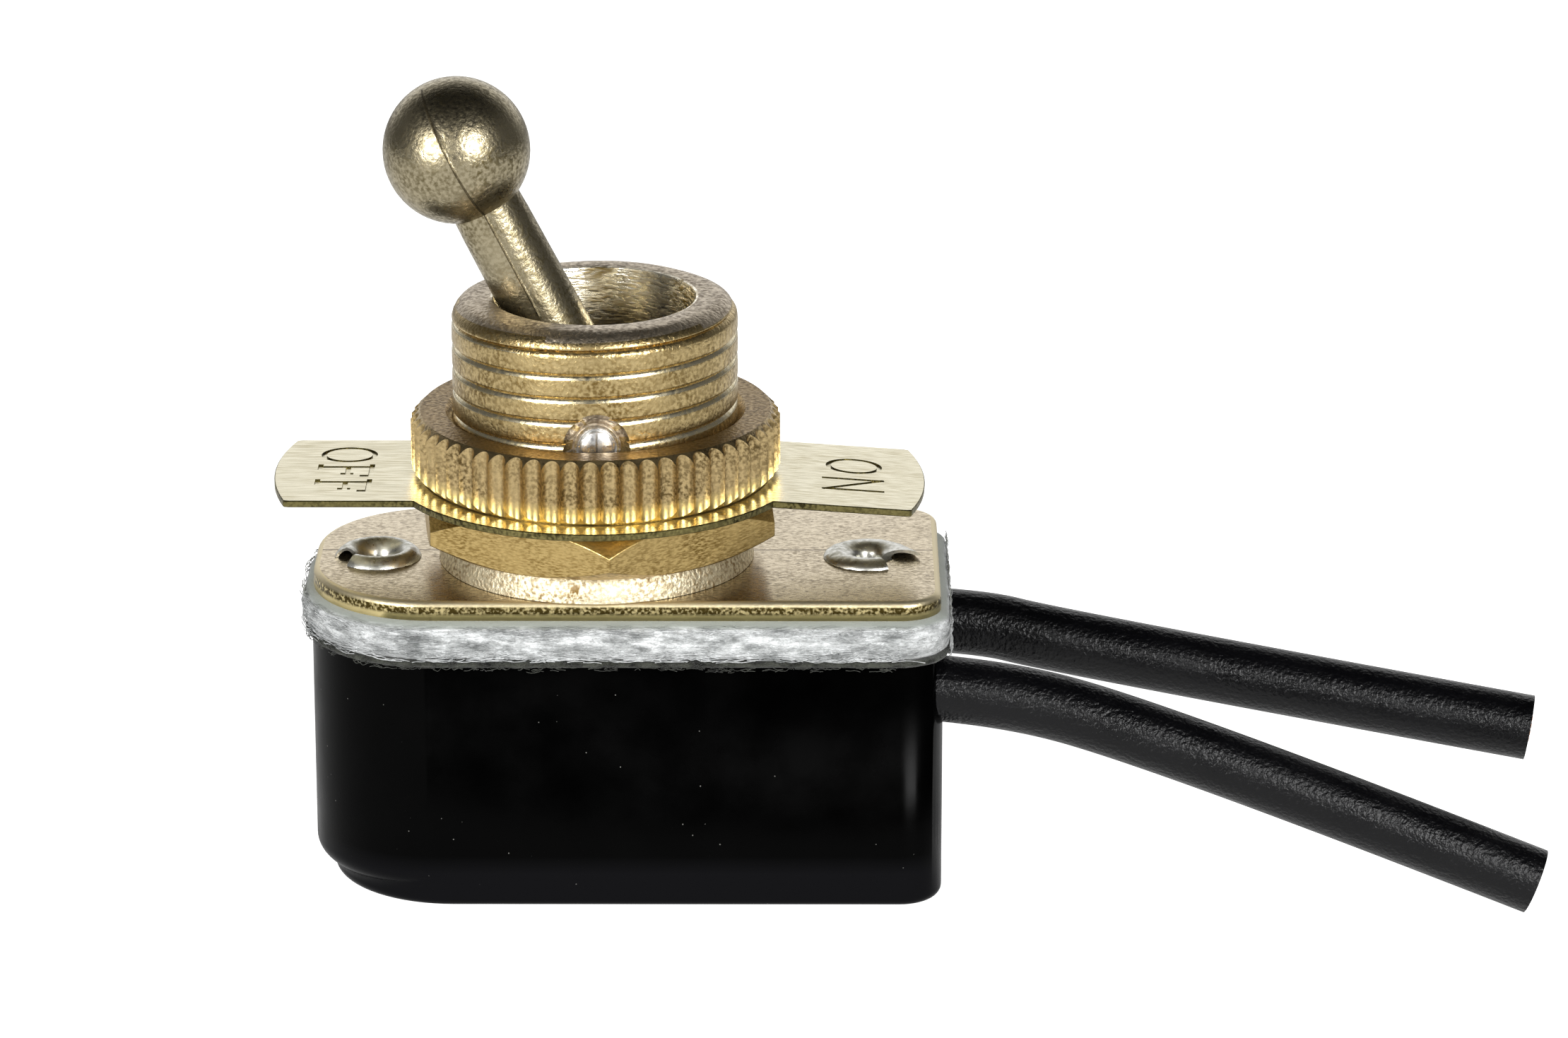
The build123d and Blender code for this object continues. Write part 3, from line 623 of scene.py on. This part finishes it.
# %% Make the felt layers
def felt_layer(name, node, material, low, high, margin, bulge, rough):
    """A pressed fibre layer with a rounded, uneven edge and an open middle."""
    thick = high - low
    inner, cell = 5.35, 0.25
    spine_left, spine_right = -6, 10
    steps = [(-0.3, 0.0), (-0.02, 0.12), (bulge, 0.5), (0.0, 0.88), (-0.3, 1.0)]
    rings = [(inner, high), (inner, low)]
    rings += [lambda turn, s=s: outline(turn, margin + s[0], low + s[1] * thick) for s in steps]
    bm = laid(180, rings)
    straight = [
        edge for edge in bm.edges
        if edge.calc_length() > 1.5 and abs(edge.verts[0].co.z - edge.verts[1].co.z) < 0.001
        and all(vert.co.xy.length > inner + 0.2 for vert in edge.verts)
    ]
    for size in sorted({round(edge.calc_length(), 1) for edge in straight}):
        side = [edge for edge in straight if edge.is_valid and abs(edge.calc_length() - size) < 0.1]
        bmesh.ops.subdivide_edges(bm, edges=side, cuts=int(size / cell), use_grid_fill=True)
    for vert in bm.verts:
        if vert.co.xy.length > inner + 0.2:
            spine_x = max(min(vert.co.x, spine_right), spine_left)
            away = Vector((vert.co.x - spine_x, vert.co.y, 0)).normalized()
            lump = noise.noise(vert.co * 0.9) * 0.6 + noise.noise(vert.co * 3.1) * 0.4
            vert.co += away * lump * rough
    made = make_piece(name, bm, node, [material], sharp=80)


felt_layer("felt_pad", "felt_gasket", white_felt, felt_z, plate_z, 0.36, 0.1, 0.09)
felt_layer("fibre_pad", "fibre_sheet", olive_felt, housing_top, felt_z, 0.3, 0.05, 0.1)


# %% Draw the loose strands
def loose_strands(name, material, count, low, high, margin, length, thickness):
    """Loose fibres along an edge, each a short bent line."""
    curve = new_curve(name, thickness, 0, 2)
    first_x, last_x = plate_left + left_corner_radius, plate_right - right_corner_radius
    # Where each strand goes: the front takes the first share, then the rear, then the round end
    front_until, rear_until, round_until = 0.45, 0.6, 0.88
    for _ in range(count):
        part = random.random()
        if part < rear_until:
            along, away = Vector((1, 0, 0)), Vector((0, -1 if part < front_until else 1, 0))
            start = Vector((random.uniform(first_x, last_x), away.y * (plate_half_depth + margin), 0))
        elif part < round_until:
            turn = math.pi * (0.5 + random.random())
            start = outline(turn, margin, 0)
            away = Vector((math.cos(turn), math.sin(turn), 0))
            along = Vector((-away.y, away.x, 0))
        else:
            start = Vector((plate_right + margin, random.uniform(-1, 1) * (plate_half_depth - 0.8), 0))
            along, away = Vector((0, 1, 0)), Vector((1, 0, 0))
        start.z = random.uniform(low, high)
        reach = length * random.uniform(0.4, 1.3) * random.choice((-1, 1))
        lift = random.uniform(-0.03, 0.04)
        points = []
        for share in (0, 1 / 3, 2 / 3, 1):
            bow = lift + math.sin(share * math.pi) * random.uniform(0.0, 0.12)
            rise = Vector((0, 0, random.uniform(-0.08, 0.08)))
            points.append(start + along * reach * share + away * bow + rise)
        run_spline(curve, points)
    drawn = show(name, curve)
    bm = bmesh.new()
    bm.from_mesh(drawn.evaluated_get(bpy.context.evaluated_depsgraph_get()).to_mesh())
    bm.transform(Matrix.Scale(1 / MM, 4))
    bpy.data.objects.remove(drawn)
    make_piece(name, bm, None, [material], sharp=180)


loose_strands("felt_strands", white_felt, 2400, felt_z + 0.05, plate_z - 0.1, 0.4, 1.1, 0.016)
loose_strands("fibre_strands", olive_felt, 700, housing_top - 0.1, felt_z + 0.12, 0.32, 0.5, 0.014)

# %% [markdown]
# ## Threaded bushing
# The bushing is a turned tube with a round boss, and its thread is blunt: broad flat
# lands, each with a rounded upper edge that catches the light as a thin line, helped by a painted highlight.
# a profile moved up as it turns, so one pitch of the profile is spun with a lift per
# step. The rim's rounding trims the crests, flat cuts end the thread, and the open edge
# is extruded in rings down the boss, over the rim and down the bore until the surface
# closes. The pin's two recesses are carved last, and each face gets its finish by its place.

# %% Spin the thread
pitch = 1.0
upper_rounding = 0.36
lower_rounding = 0.1
notch_front_z = 24.3
rim_rounding = 0.95
steps_per_turn = 96
land_end = 0.68
shares = [0, 0.03, 0.06, 0.1, 0.3, 0.5, land_end, 0.72, 0.76, 0.8, 0.84, 0.88, 0.92, 0.96, 1]


def crest_reach(share):
    """Radius of the thread's profile at a share of the pitch: a flat land between two roundings."""
    below = max(lower_rounding - share * pitch, 0)
    above = max(share - land_end, 0) * pitch
    lower = lower_rounding - math.sqrt(lower_rounding**2 - below**2)
    upper = upper_rounding - math.sqrt(upper_rounding**2 - above**2)
    return thread_radius - lower - upper


turns = 9
start_z = notch_front_z - (turns - 1) * pitch
points = [(crest_reach(share), start_z + share * pitch) for share in shares]
points.append((crest_reach(0), start_z + pitch))
bm = spun(points, (0, -1), steps_per_turn, turns, lift=pitch, join=0.003)
for vert in bm.verts:
    above = min(max(vert.co.z - (rim_z - rim_rounding), 0), rim_rounding)
    allowed = thread_radius - rim_rounding + math.sqrt(rim_rounding**2 - above**2)
    vert.co.xy *= 1 - (thread_radius - allowed) / vert.co.xy.length
print("thread faces:", len(bm.faces))


# %% Close the bushing
def cut_level(bm, height, keep_below):
    """Trims the shape at a height and returns the open edges of the cut."""
    bmesh.ops.bisect_plane(
        bm, geom=bm.verts[:] + bm.edges[:] + bm.faces[:], plane_co=(0, 0, height), plane_no=(0, 0, 1),
        clear_outer=keep_below, clear_inner=not keep_below,
    )
    return [
        edge for edge in bm.edges
        if edge.is_boundary and all(abs(vert.co.z - height) < 0.001 for vert in edge.verts)
    ]


def run_rings(bm, ring, stations):
    """Extrudes a loop through circles of the given radius and height."""
    for radius, height in stations:
        ring, verts = extrude_ring(bm, ring)
        for vert in verts:
            vert.co.xy *= radius / vert.co.xy.length
            vert.co.z = height
    return ring


neck_radius = thread_radius - 0.1
boss_shoulder, boss_radius, boss_foot = 6.28, 6.4, 6.66
stake_radius = bore_radius + 0.45
top_ring = cut_level(bm, rim_z - 0.03, True)
low_ring = cut_level(bm, ring_z + 1.0, False)
top_ring = run_rings(
    bm, top_ring,
    [(thread_radius - rim_rounding, rim_z), (bore_radius + 0.12, rim_z), (bore_radius + 0.03, rim_z - 0.03),
     (bore_radius, rim_z - 0.12), (bore_radius, pivot_z), (bore_radius, bushing_low + 0.2)],
)
low_ring = run_rings(
    bm, low_ring,
    [(neck_radius, ring_z + 0.8), (neck_radius, nut_z), (boss_shoulder, nut_z),
     (boss_radius - 0.05, nut_z - 0.04), (boss_radius, nut_z - 0.1), (boss_foot, plate_top + 0.06),
     (boss_foot, plate_top + 0.02), (stake_radius, plate_top + 0.02), (stake_radius, bushing_low),
     (bore_radius, bushing_low)],
)
bmesh.ops.bridge_loops(bm, edges=top_ring + low_ring)
weld(bm)
print("bushing's open edges:", sum(not edge.is_manifold for edge in bm.edges))

# %% Carve the recesses and give out the finishes
pin_turn = Matrix.Rotation(math.radians(2.2), 4, "Z")
recess_floor, recess_mouth, recess_depth = 1.0, 2.09, 1.2
recesses = bmesh.new()
for facing in (-1, 1):
    outside = Matrix.Translation((0, facing * thread_radius, pivot_z))
    bmesh.ops.create_cone(
        recesses, cap_ends=True, segments=64, radius1=recess_floor, radius2=recess_mouth, depth=recess_depth,
        matrix=pin_turn @ outside @ Matrix.Rotation(-facing * math.pi / 2, 4, "X"),
    )
bm = carve(bm, recesses)
bm.normal_update()
bushing_finishes = [turned_brass, faced_brass, bored_brass, blasted_brass, worn_highlight_brass]
for face in bm.faces:
    middle, up = face.calc_center_median(), face.normal.z
    out = middle.xy.length
    finish = turned_brass
    if out < bore_radius + 0.08:
        finish = bored_brass
    elif middle.z > rim_z - 0.3 and up > 0.6:
        finish = faced_brass
    elif middle.z < nut_z + 0.01 and out > thread_radius + 0.1:
        finish = blasted_brass
    elif abs(middle.z - pivot_z) < 1.6 and abs(middle.x) < 1.6 and out < thread_radius - 0.21:
        finish = faced_brass
    elif ring_z < middle.z < rim_z - rim_rounding and 0.25 < up < 0.97:
        finish = worn_highlight_brass
    face.material_index = bushing_finishes.index(finish)
make_piece("threaded_bushing", bm, "bushing", bushing_finishes, sharp=32)

# %% [markdown]
# ## Hex nut
# A hex nut is a six-sided bar whose corners are turned off above and below, which leaves
# curved edges on its flats. With rings this is a rule: the wall's radius follows a
# hexagon, and its edges draw in where the wall stands further out than the flats.

# %% Make the hex nut
hex_flat = thread_radius + 1.2
top_slope, bottom_slope = math.tan(math.radians(37)), math.tan(math.radians(31))
edge_break, edge_bevel = 0.03, 0.035
hex_cad = merged_copy("hex_nut")
hex_corner = max((vert.co for vert in hex_cad.verts), key=lambda co: co.xy.length)
hex_turn = math.atan2(hex_corner.y, hex_corner.x)
hex_cad.free()


def hex_reach(turn):
    """Radius of the hexagon at a turn."""
    off = (turn - hex_turn) % (math.pi / 3) - math.pi / 6
    return hex_flat / math.cos(off)


def hex_wall(level, slope):
    """Rule of the wall's edge: at the level on the flats, and sloping off towards the corners."""
    def rule(turn):
        reach = hex_reach(turn)
        return around(reach, level + (reach - hex_flat) * slope)(turn)
    return rule


hex_rules = [
    around(thread_radius, nut_z), around(hex_flat - 0.05, nut_z), hex_wall(nut_z + edge_break, bottom_slope),
    hex_wall(tag_z - edge_break, -top_slope), around(hex_flat - 0.05, tag_z), around(thread_radius, tag_z),
]
# The rings start at a corner, so that all six corners fall on a vertex
turned_rules = [lambda turn, rule=rule: rule(turn + hex_turn) for rule in hex_rules]
bm = laid(144, turned_rules)
hex_piece = make_piece("hex_nut_dressed", bm, "hex_nut", [milled_brass], sharp=20)
edge = hex_piece.modifiers.new("soft edges", "BEVEL")
edge.width = edge_bevel * MM
edge.segments = 2
edge.limit_method = "ANGLE"
edge.angle_limit = math.radians(22)

# %% [markdown]
# ## Ring nut
# The knurled ring nut carries the switch's finest work: sixty scalloped grooves between
# sharp crests, with a cone turned on top that gives each tooth its arched head. The
# groove is a circle's arc, so the wall's radius is a rule of the turn, and the cone's
# edge follows it.

# %% Shape the teeth
ring_radius = box_mm("ring_nut")[1].x
teeth = 60
tooth_depth = 0.36
top_chamfer = 0.42
bottom_chamfer = 0.4
cone_slope = 0.95
steps_per_tooth = 14
seat_radius, seat_height = 7.1, 0.05
half_groove = math.pi * ring_radius / teeth
scallop = (half_groove**2 + tooth_depth**2) / (2 * tooth_depth)


def tooth_reach(turn):
    """Radius of the scalloped wall, with a groove at the front."""
    off = ((turn + math.pi / 2) * teeth / math.tau + 0.5) % 1 - 0.5
    along = off * 2 * half_groove
    return ring_radius - tooth_depth + scallop - math.sqrt(scallop**2 - along**2) - 0.01


def tooth_head(turn):
    """Where the top cone meets the scallops."""
    reach = tooth_reach(turn)
    return around(reach, ring_top - (reach - (ring_radius - top_chamfer)) * cone_slope)(turn)


def tooth_foot(turn):
    """Where the lower chamfer meets the crests."""
    reach = tooth_reach(turn)
    return around(reach, ring_z + seat_height + max(0.02, reach - (ring_radius - bottom_chamfer)))(turn)


def tooth_sole(turn):
    """The nut's lower face, inside the chamfer."""
    return around(min(tooth_reach(turn), ring_radius - bottom_chamfer), ring_z + seat_height)(turn)


print(f"teeth: {teeth}, grooves {2 * half_groove:.2f} mm wide")

# %% Make the ring nut
bm = laid(
    teeth * steps_per_tooth,
    [(thread_radius, ring_z), (seat_radius, ring_z), (seat_radius, ring_z + seat_height), tooth_sole,
     tooth_foot, tooth_head, (ring_radius - top_chamfer, ring_top), (thread_radius + 0.32, ring_top),
     (thread_radius, ring_top - 0.3)],
)
for face in bm.faces:
    face.material_index = 1 if face.calc_center_median().z > ring_top - 0.02 else 0
ring_finishes = [toothed_brass, lathed_brass]
make_piece("toothed_ring_nut", bm, "ring_nut", ring_finishes, sharp=30)

# %% [markdown]
# ## ON/OFF tag
# The tag is a stamped disc with two tabs whose ends are arcs about the bushing. In turns
# about the axis its outline is a simple rule: an arc at each end, a straight side where
# the tab is as wide as its width, and the disc between. The letters are stamped
# strokes, carved from boxes and one oval ring each: their floor stays bright, and the wall
# that faces the viewer draws the dark line. The right tab is bent down a little.

# %% Shape the tag
tag_half_width = 4.16
tag_left, tag_right = 13.55, 13.9
tag_disc = 8.574
tag_bend_x = math.sqrt(tag_disc**2 - tag_half_width**2)
tag_droop = math.radians(4)


def tag_outline(inset, height):
    """Rule of the tag's edge: arc ends, straight sides, round middle."""
    def rule(turn):
        reach = (tag_right if math.cos(turn) > 0 else tag_left) - inset
        side = (tag_half_width - inset) / max(abs(math.sin(turn)), 1e-6)
        return around(max(min(reach, side), tag_disc - inset), height)(turn)
    return rule


tag_edge, tag_hole = 0.04, thread_radius + 0.1
bm = laid(
    720,
    [(tag_hole, tag_z), tag_outline(tag_edge, tag_z), tag_outline(0, tag_z + tag_edge),
     tag_outline(0, ring_z - tag_edge), tag_outline(tag_edge, ring_z), (tag_hole, ring_z)],
)
print("tag faces:", len(bm.faces))


# %% Draw the letters
def engraving():
    """The strokes of OFF and ON, read towards the front, as a cutter."""
    bm = bmesh.new()
    line, depth = 0.22, 0.16

    def stroke(start, end):
        a, b = Vector(start), Vector(end)
        turn = math.atan2(b.y - a.y, b.x - a.x)
        middle = ((a + b) / 2).to_3d() + Vector((0, 0, ring_z))
        place = Matrix.Translation(middle) @ Matrix.Rotation(turn, 4, "Z")
        size = Matrix.Diagonal(((b - a).length + line, line, depth, 1))
        bmesh.ops.create_cube(bm, size=1, matrix=place @ size)

    def oval(x, y, long, wide):
        shape = Matrix.Translation((x, y, ring_z)) @ Matrix.Diagonal((long / 2, wide / 2, 1, 1))
        made = bmesh.ops.create_cone(bm, segments=48, radius1=1, radius2=1, depth=depth)["verts"]
        faces = list({face for vert in made for face in vert.link_faces})
        bmesh.ops.transform(bm, matrix=shape, verts=made)
        bmesh.ops.recalc_face_normals(bm, faces=faces)
        bmesh.ops.solidify(bm, geom=faces, thickness=line)

    oval(-10.54, 2.1, 2.4, 2.05)
    foot, middle, head = -11.66, -10.47, -9.48
    serif, short_arm, long_arm = 0.25, 0.92, 1.19
    for stem in (0.42, -1.61):
        stroke((foot, stem), (head, stem))
        stroke((foot, stem - serif), (foot, stem + serif))
        stroke((middle, stem), (middle, stem - short_arm))
        stroke((-10.66, stem - short_arm), (-10.33, stem - short_arm))
        stroke((head, stem + serif), (head, stem - long_arm))
        stroke((-9.83, stem - long_arm), (head, stem - long_arm))
    oval(10.9, 1.3, 2.4, 2.0)
    foot, head = 9.65, 12.05
    first, second = -0.5, -1.93
    stroke((foot, first), (head, first))
    stroke((foot, second), (head, second))
    stroke((head, first), (foot, second))
    return bm


cutter = engraving()
print("letter faces:", len(cutter.faces))

# %% Carve and bend the tag
bm = carve(bm, cutter, crossing=True)
bmesh.ops.bisect_plane(
    bm, geom=bm.verts[:] + bm.edges[:] + bm.faces[:], plane_co=(tag_bend_x, 0, 0), plane_no=(1, 0, 0)
)
bm.normal_update()
for face in bm.faces:
    face.material_index = 0 if abs(face.normal.z) > 0.9 else 1
swing = Matrix.Rotation(tag_droop, 4, "Y")
hinge = Vector((tag_bend_x, 0, ring_z))
for vert in bm.verts:
    if vert.co.x > tag_bend_x:
        vert.co = hinge + swing @ (vert.co - hinge)
print("tag's open edges:", sum(not edge.is_manifold for edge in bm.edges))
tag_finishes = [brushed_brass, aged_brass]
make_piece("engraved_tag", bm, "indicator_plate", tag_finishes, sharp=28)

# %% [markdown]
# ## Lever
# The lever is a ball on a short stem, cast in two half moulds: a fine raised line runs
# down it where the halves met, coloured darker. It is one profile spun about its own
# axis. The line comes from bevelling the edges that lie in the mould's plane and lifting
# their middle.


# %% Draw the lever's profile
def arc(radius, centre, start, end, steps):
    """Points of a profile on an arc about a height of the axis, without the first."""
    turns = [start + (end - start) * step / steps for step in range(1, steps + 1)]
    return [(radius * math.cos(turn), centre + radius * math.sin(turn)) for turn in turns]


ball_radius, ball_up = 3.07, 12.54
stem_top, stem_foot = 1.5, 1.6
hub_radius = 3.2
arm_radius, arm_length = 1.25, 5.6
arm_bore, bore_top = 0.85, -1.5
ball_under = ball_up - math.sqrt(ball_radius**2 - stem_top**2)
hub_over = math.sqrt(hub_radius**2 - stem_foot**2)
hub_under = -math.sqrt(hub_radius**2 - arm_radius**2)
low_turn = math.atan2(ball_under - ball_up, stem_top)
hub_start, hub_end = math.atan2(hub_over, stem_foot), math.atan2(hub_under, arm_radius)
points = [
    (0, ball_up + ball_radius), *arc(ball_radius, ball_up, math.pi / 2, low_turn, 32),
    (stem_top, ball_under - 0.06), (stem_top + 0.03, 9), (stem_top + 0.05, 7), (stem_foot - 0.02, 5),
    (stem_foot, hub_over), *arc(hub_radius, 0, hub_start, hub_end, 12),
    (arm_radius, -arm_length), (arm_bore, -arm_length), (arm_bore, bore_top), (0, bore_top),
]
print("points of the lever's profile:", len(points))

# %% Spin the lever and raise its mould line
lever_throw = math.radians(26.9)
seam_width, seam_height = 0.05, 0.03
seam_low, seam_end = 4, 0.3


def on_seam(vert):
    """Whether a vertex lies in the mould's plane, on the part that shows."""
    return abs(vert.co.x) < 1e-4 and vert.co.z > seam_low and abs(vert.co.y) > seam_end


bm = spun(points, (0, -1), 96)
seam = [edge for edge in bm.edges if all(on_seam(vert) for vert in edge.verts)]
ridge = bmesh.ops.bevel(
    bm, geom=seam, offset=seam_width, offset_type="OFFSET", affect="EDGES", segments=2, profile=0.5,
    material=-1,
)
for face in ridge["faces"]:
    face.material_index = 1
for vert in bm.verts:
    if on_seam(vert):
        vert.co.y += math.copysign(seam_height, vert.co.y)
print("faces of the mould line:", len(ridge["faces"]))
lever_place = Matrix.Translation((0, 0, pivot_z)) @ Matrix.Rotation(-lever_throw, 4, "Y")
lever_finishes = [lever_plating, dark_seam_plating]
make_piece("ball_lever", bm, "lever", lever_finishes, 50, lever_place, body="lever")

# %% [markdown]
# ## Pivot pin
# The pin's ends sit in the bushing's recesses. Each is a low dome with a fine groove
# round it, and a split across: it is one turned profile, and a thin box cuts the split.

# %% Make the pin
pin_half = pin_high.y + 0.4
pin_radius = 0.83
split_width, split_length, split_height = 0.08, 1.3, 0.36
end = [
    (0, 0.0), (0.3, -0.02), (0.5, -0.06), (0.64, -0.12), (0.68, -0.18), (0.69, -0.3), (0.74, -0.3),
    (0.79, -0.2), (0.85, -0.17), (0.91, -0.24), (0.93, -0.34), (0.93, -0.7), (pin_radius, -0.7),
]
points = [(r, pin_half + z) for r, z in end] + [(r, -pin_half - z) for r, z in reversed(end)]
bm = spun(points, (1, 0), 48)
splits = bmesh.new()
for facing in (-1, 1):
    size = Matrix.Diagonal((split_width, split_length, split_height, 1))
    bmesh.ops.create_cube(splits, size=1, matrix=Matrix.Translation((0, 0, facing * pin_half)) @ size)
bm = carve(bm, splits)
pin_place = pin_turn @ Matrix.Translation((0, 0, pivot_z)) @ Matrix.Rotation(math.pi / 2, 4, "X")
make_piece("pivot_pin_dressed", bm, "pivot_pin", [plain_steel], 30, pin_place)

# %% [markdown]
# ## Eyelets
# Two tubular eyelets hold the switch together. Their tops were rolled over on the plate,
# and each roll tore open at one place. A roll is a thin arched section spun almost all
# the way round, rippled a little by the tool, and the tube with its flat head below is a
# plain turned ring. One end of the right roll was bent out to a petal.


# %% Make the eyelet
def eyelet(side, centre_x, skin, under, gap, petal):
    """A tube with a flat head below and a rolled edge on the plate, open over the gap's turns."""
    tube, bore, head = 1.0, 0.7, 1.8
    petal_turn, ripple = 0.75, 0.04
    centre_y = -0.4
    low = box_mm(f"eyelet_{side}")[0].z
    bm = laid(
        48,
        [(bore, low), (head - 0.05, low), (head, low + 0.05), (head, low + 0.3), (tube, low + 0.35),
         (tube, plate_top - 0.3), (bore, plate_top - 0.3)],
    )
    start = Matrix.Rotation(gap[1], 3, "Z")
    arch = [Vector((radius, 0, plate_top + 0.01 + height)) for radius, height in skin + under]
    section = [bm.verts.new(start @ point) for point in arch]
    face = bm.faces.new(section)
    before = set(bm.verts) - set(section)
    bmesh.ops.spin(
        bm, geom=[face, *face.edges, *section], cent=(0, 0, 0), axis=(0, 0, 1), dvec=(0, 0, 0),
        angle=math.tau - (gap[1] - gap[0]), steps=72,
    )
    for vert in set(bm.verts) - before:
        turn = math.atan2(vert.co.y, vert.co.x)
        near = max(0, 1 - ((turn - gap[1]) % math.tau) / petal_turn)
        out = max(0, vert.co.xy.length - tube)
        wave = noise.noise(Vector((turn * 8, centre_x, 0))) * ripple * min(out, 0.5)
        vert.co.z += wave + petal[1] * near**2 * out
        vert.co.xy *= 1 + petal[0] * near**2 * out
    place = Matrix.Translation((centre_x, centre_y, 0))
    make_piece(f"eyelet_{side}_rolled", bm, f"eyelet_{side}", [bright_nickel], 40, place)


print("eyelet ready")

# %% Roll both eyelets
left_skin = [
    (0.68, -0.5), (0.72, -0.2), (0.82, 0.02), (0.98, 0.22), (1.16, 0.37), (1.32, 0.42), (1.5, 0.38),
    (1.68, 0.24), (1.8, 0.09), (1.84, 0),
]
left_under = [
    (1.7, 0), (1.66, 0.08), (1.56, 0.2), (1.44, 0.28), (1.32, 0.3), (1.2, 0.26), (1.08, 0.12), (1.0, -0.1),
    (0.98, -0.5),
]
right_skin = [
    (0.52, -0.5), (0.54, -0.1), (0.62, 0.06), (0.8, 0.2), (1.05, 0.29), (1.3, 0.31), (1.56, 0.26),
    (1.76, 0.18), (1.87, 0.09), (1.9, 0),
]
right_under = [(1.76, 0), (1.68, 0.06), (1.5, 0.14), (1.3, 0.18), (1.1, 0.16), (1.0, 0.05), (0.98, -0.5)]
eyelet("left", -9.25, left_skin, left_under, (math.radians(188), math.radians(228)), (0.0, 0.0))
eyelet("right", 11.5, right_skin, right_under, (math.radians(-64), math.radians(-8)), (0.2, 0.16))

# %% [markdown]
# ## Inner works
# The plunger, rocker, contacts and terminals lie inside and keep their CAD shapes. They
# get the materials of such parts, for views with the lever moved. The spring is squeezed
# between the lever and the plunger; its copy is merged, shaded smooth and left where the
# CAD puts it.

# %% Dress the inner works
inner_finish = {
    "plunger": inner_nylon, "rocker": milled_brass, "moving_contact": bright_nickel,
    "fixed_contact": bright_nickel, "common_terminal": milled_brass, "fixed_terminal": milled_brass,
    "conductor_front": strand_copper, "conductor_rear": strand_copper,
}
for node, material in inner_finish.items():
    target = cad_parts[node]
    if not target.material_slots:
        target.data.materials.append(material)
    for material_slot in target.material_slots:
        material_slot.material = material
print("inner pieces dressed:", len(inner_finish))
coil = merged_copy("plunger_spring")
spring = make_piece("coil_spring", coil, "plunger_spring", [plain_steel], body=None)
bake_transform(spring)

# %% [markdown]
# ## Floor, light and backdrop
# The photograph has a clean white ground, two soft boxes in front, to the left and right
# of the camera, and a white wall behind, which the flat brass mirrors. The floor takes
# the object's shadow, and shows white to the camera and grey to the metal.

# %% Set the stage
floor_half = 3
near, distant = 0.06, 0.35
floor_mesh = bpy.data.meshes.new("floor")
bm = bmesh.new()
bmesh.ops.create_grid(bm, x_segments=1, y_segments=1, size=floor_half)
bm.to_mesh(floor_mesh)
bm.free()
floor = show("floor", floor_mesh)
material, tree, place = new_material("white paper ground")
path = add(tree, "LightPath").outputs
mirror_rays = {0: path["Is Glossy Ray"], 1: path["Is Transmission Ray"]}
mirrored = add(tree, "Math", mirror_rays, operation="MAXIMUM")
away = add(tree, "VectorMath", {0: place}, operation="LENGTH").outputs["Value"]
fading = add(tree, "MapRange", {"Value": away, 1: near, 2: distant, 3: 0.7, 4: 0.1})
dim = add(tree, "Math", {0: mirrored, 1: fading}, operation="MULTIPLY")
strength = add(tree, "Math", {0: path["Is Camera Ray"], 1: dim}, operation="ADD")
fibre = add(tree, "TexNoise", {"Vector": place, "Scale": grain(0.4)})
tone = add(tree, "Mix", {0: fibre, 6: srgb("D8D8D6"), 7: srgb("DCDCDA")}, data_type="RGBA")
shade = add(tree, "Mix", {0: mirrored, 6: tone, 7: srgb("8C8C8A")}, data_type="RGBA")
paper = add(tree, "BsdfDiffuse", {"Color": shade})
glow = add(tree, "Emission", {"Color": (1, 1, 1, 1), "Strength": strength})
both = add(tree, "AddShader", {0: paper, 1: glow})
add(tree, "OutputMaterial", {"Surface": both})
floor_mesh.materials.append(material)
print("floor set")


# %% Set the lamps
def soft_box(name, turn, lift, size, power):
    """A square lamp that faces the bushing from the given side and height."""
    lamp = bpy.data.lights.new(name, "AREA")
    lamp.size = size
    lamp.energy = power
    made = show(name, lamp)
    aim, distance = Vector((0, 0, 18)) * MM, 0.5
    away = Vector((math.sin(turn) * math.cos(lift), -math.cos(turn) * math.cos(lift), math.sin(lift)))
    made.location = aim + away * distance
    made.rotation_euler = away.to_track_quat("Z", "Y").to_euler()


soft_box("left soft box", math.radians(-38), math.radians(18), 0.24, 2.2)
soft_box("right soft box", math.radians(31), math.radians(22), 0.22, 2.2)
print("lamps: 2")

# %% Set the backdrop
world = bpy.data.worlds.new("studio")
bpy.context.scene.world = world
world.use_nodes = True
tree = world.node_tree
tree.nodes.clear()
facing = add(tree, "SeparateXYZ", {0: add(tree, "TexCoord").outputs["Generated"]})
behind = add(tree, "MapRange", {"Value": facing.outputs["Y"], 1: 0.6, 2: 0.92, 3: 0.1, 4: 1.2})
above = add(tree, "MapRange", {"Value": facing.outputs["Z"], 1: 0.45, 2: 0.75, 3: 1.0, 4: 0.08})
wall = add(tree, "Math", {0: behind, 1: above}, operation="MULTIPLY")
studio = add(tree, "Background", {"Color": (1, 1, 1, 1), "Strength": wall})
add(tree, "OutputWorld", {"Surface": studio})
bpy.context.scene.view_settings.view_transform = "Standard"
print("backdrop set")
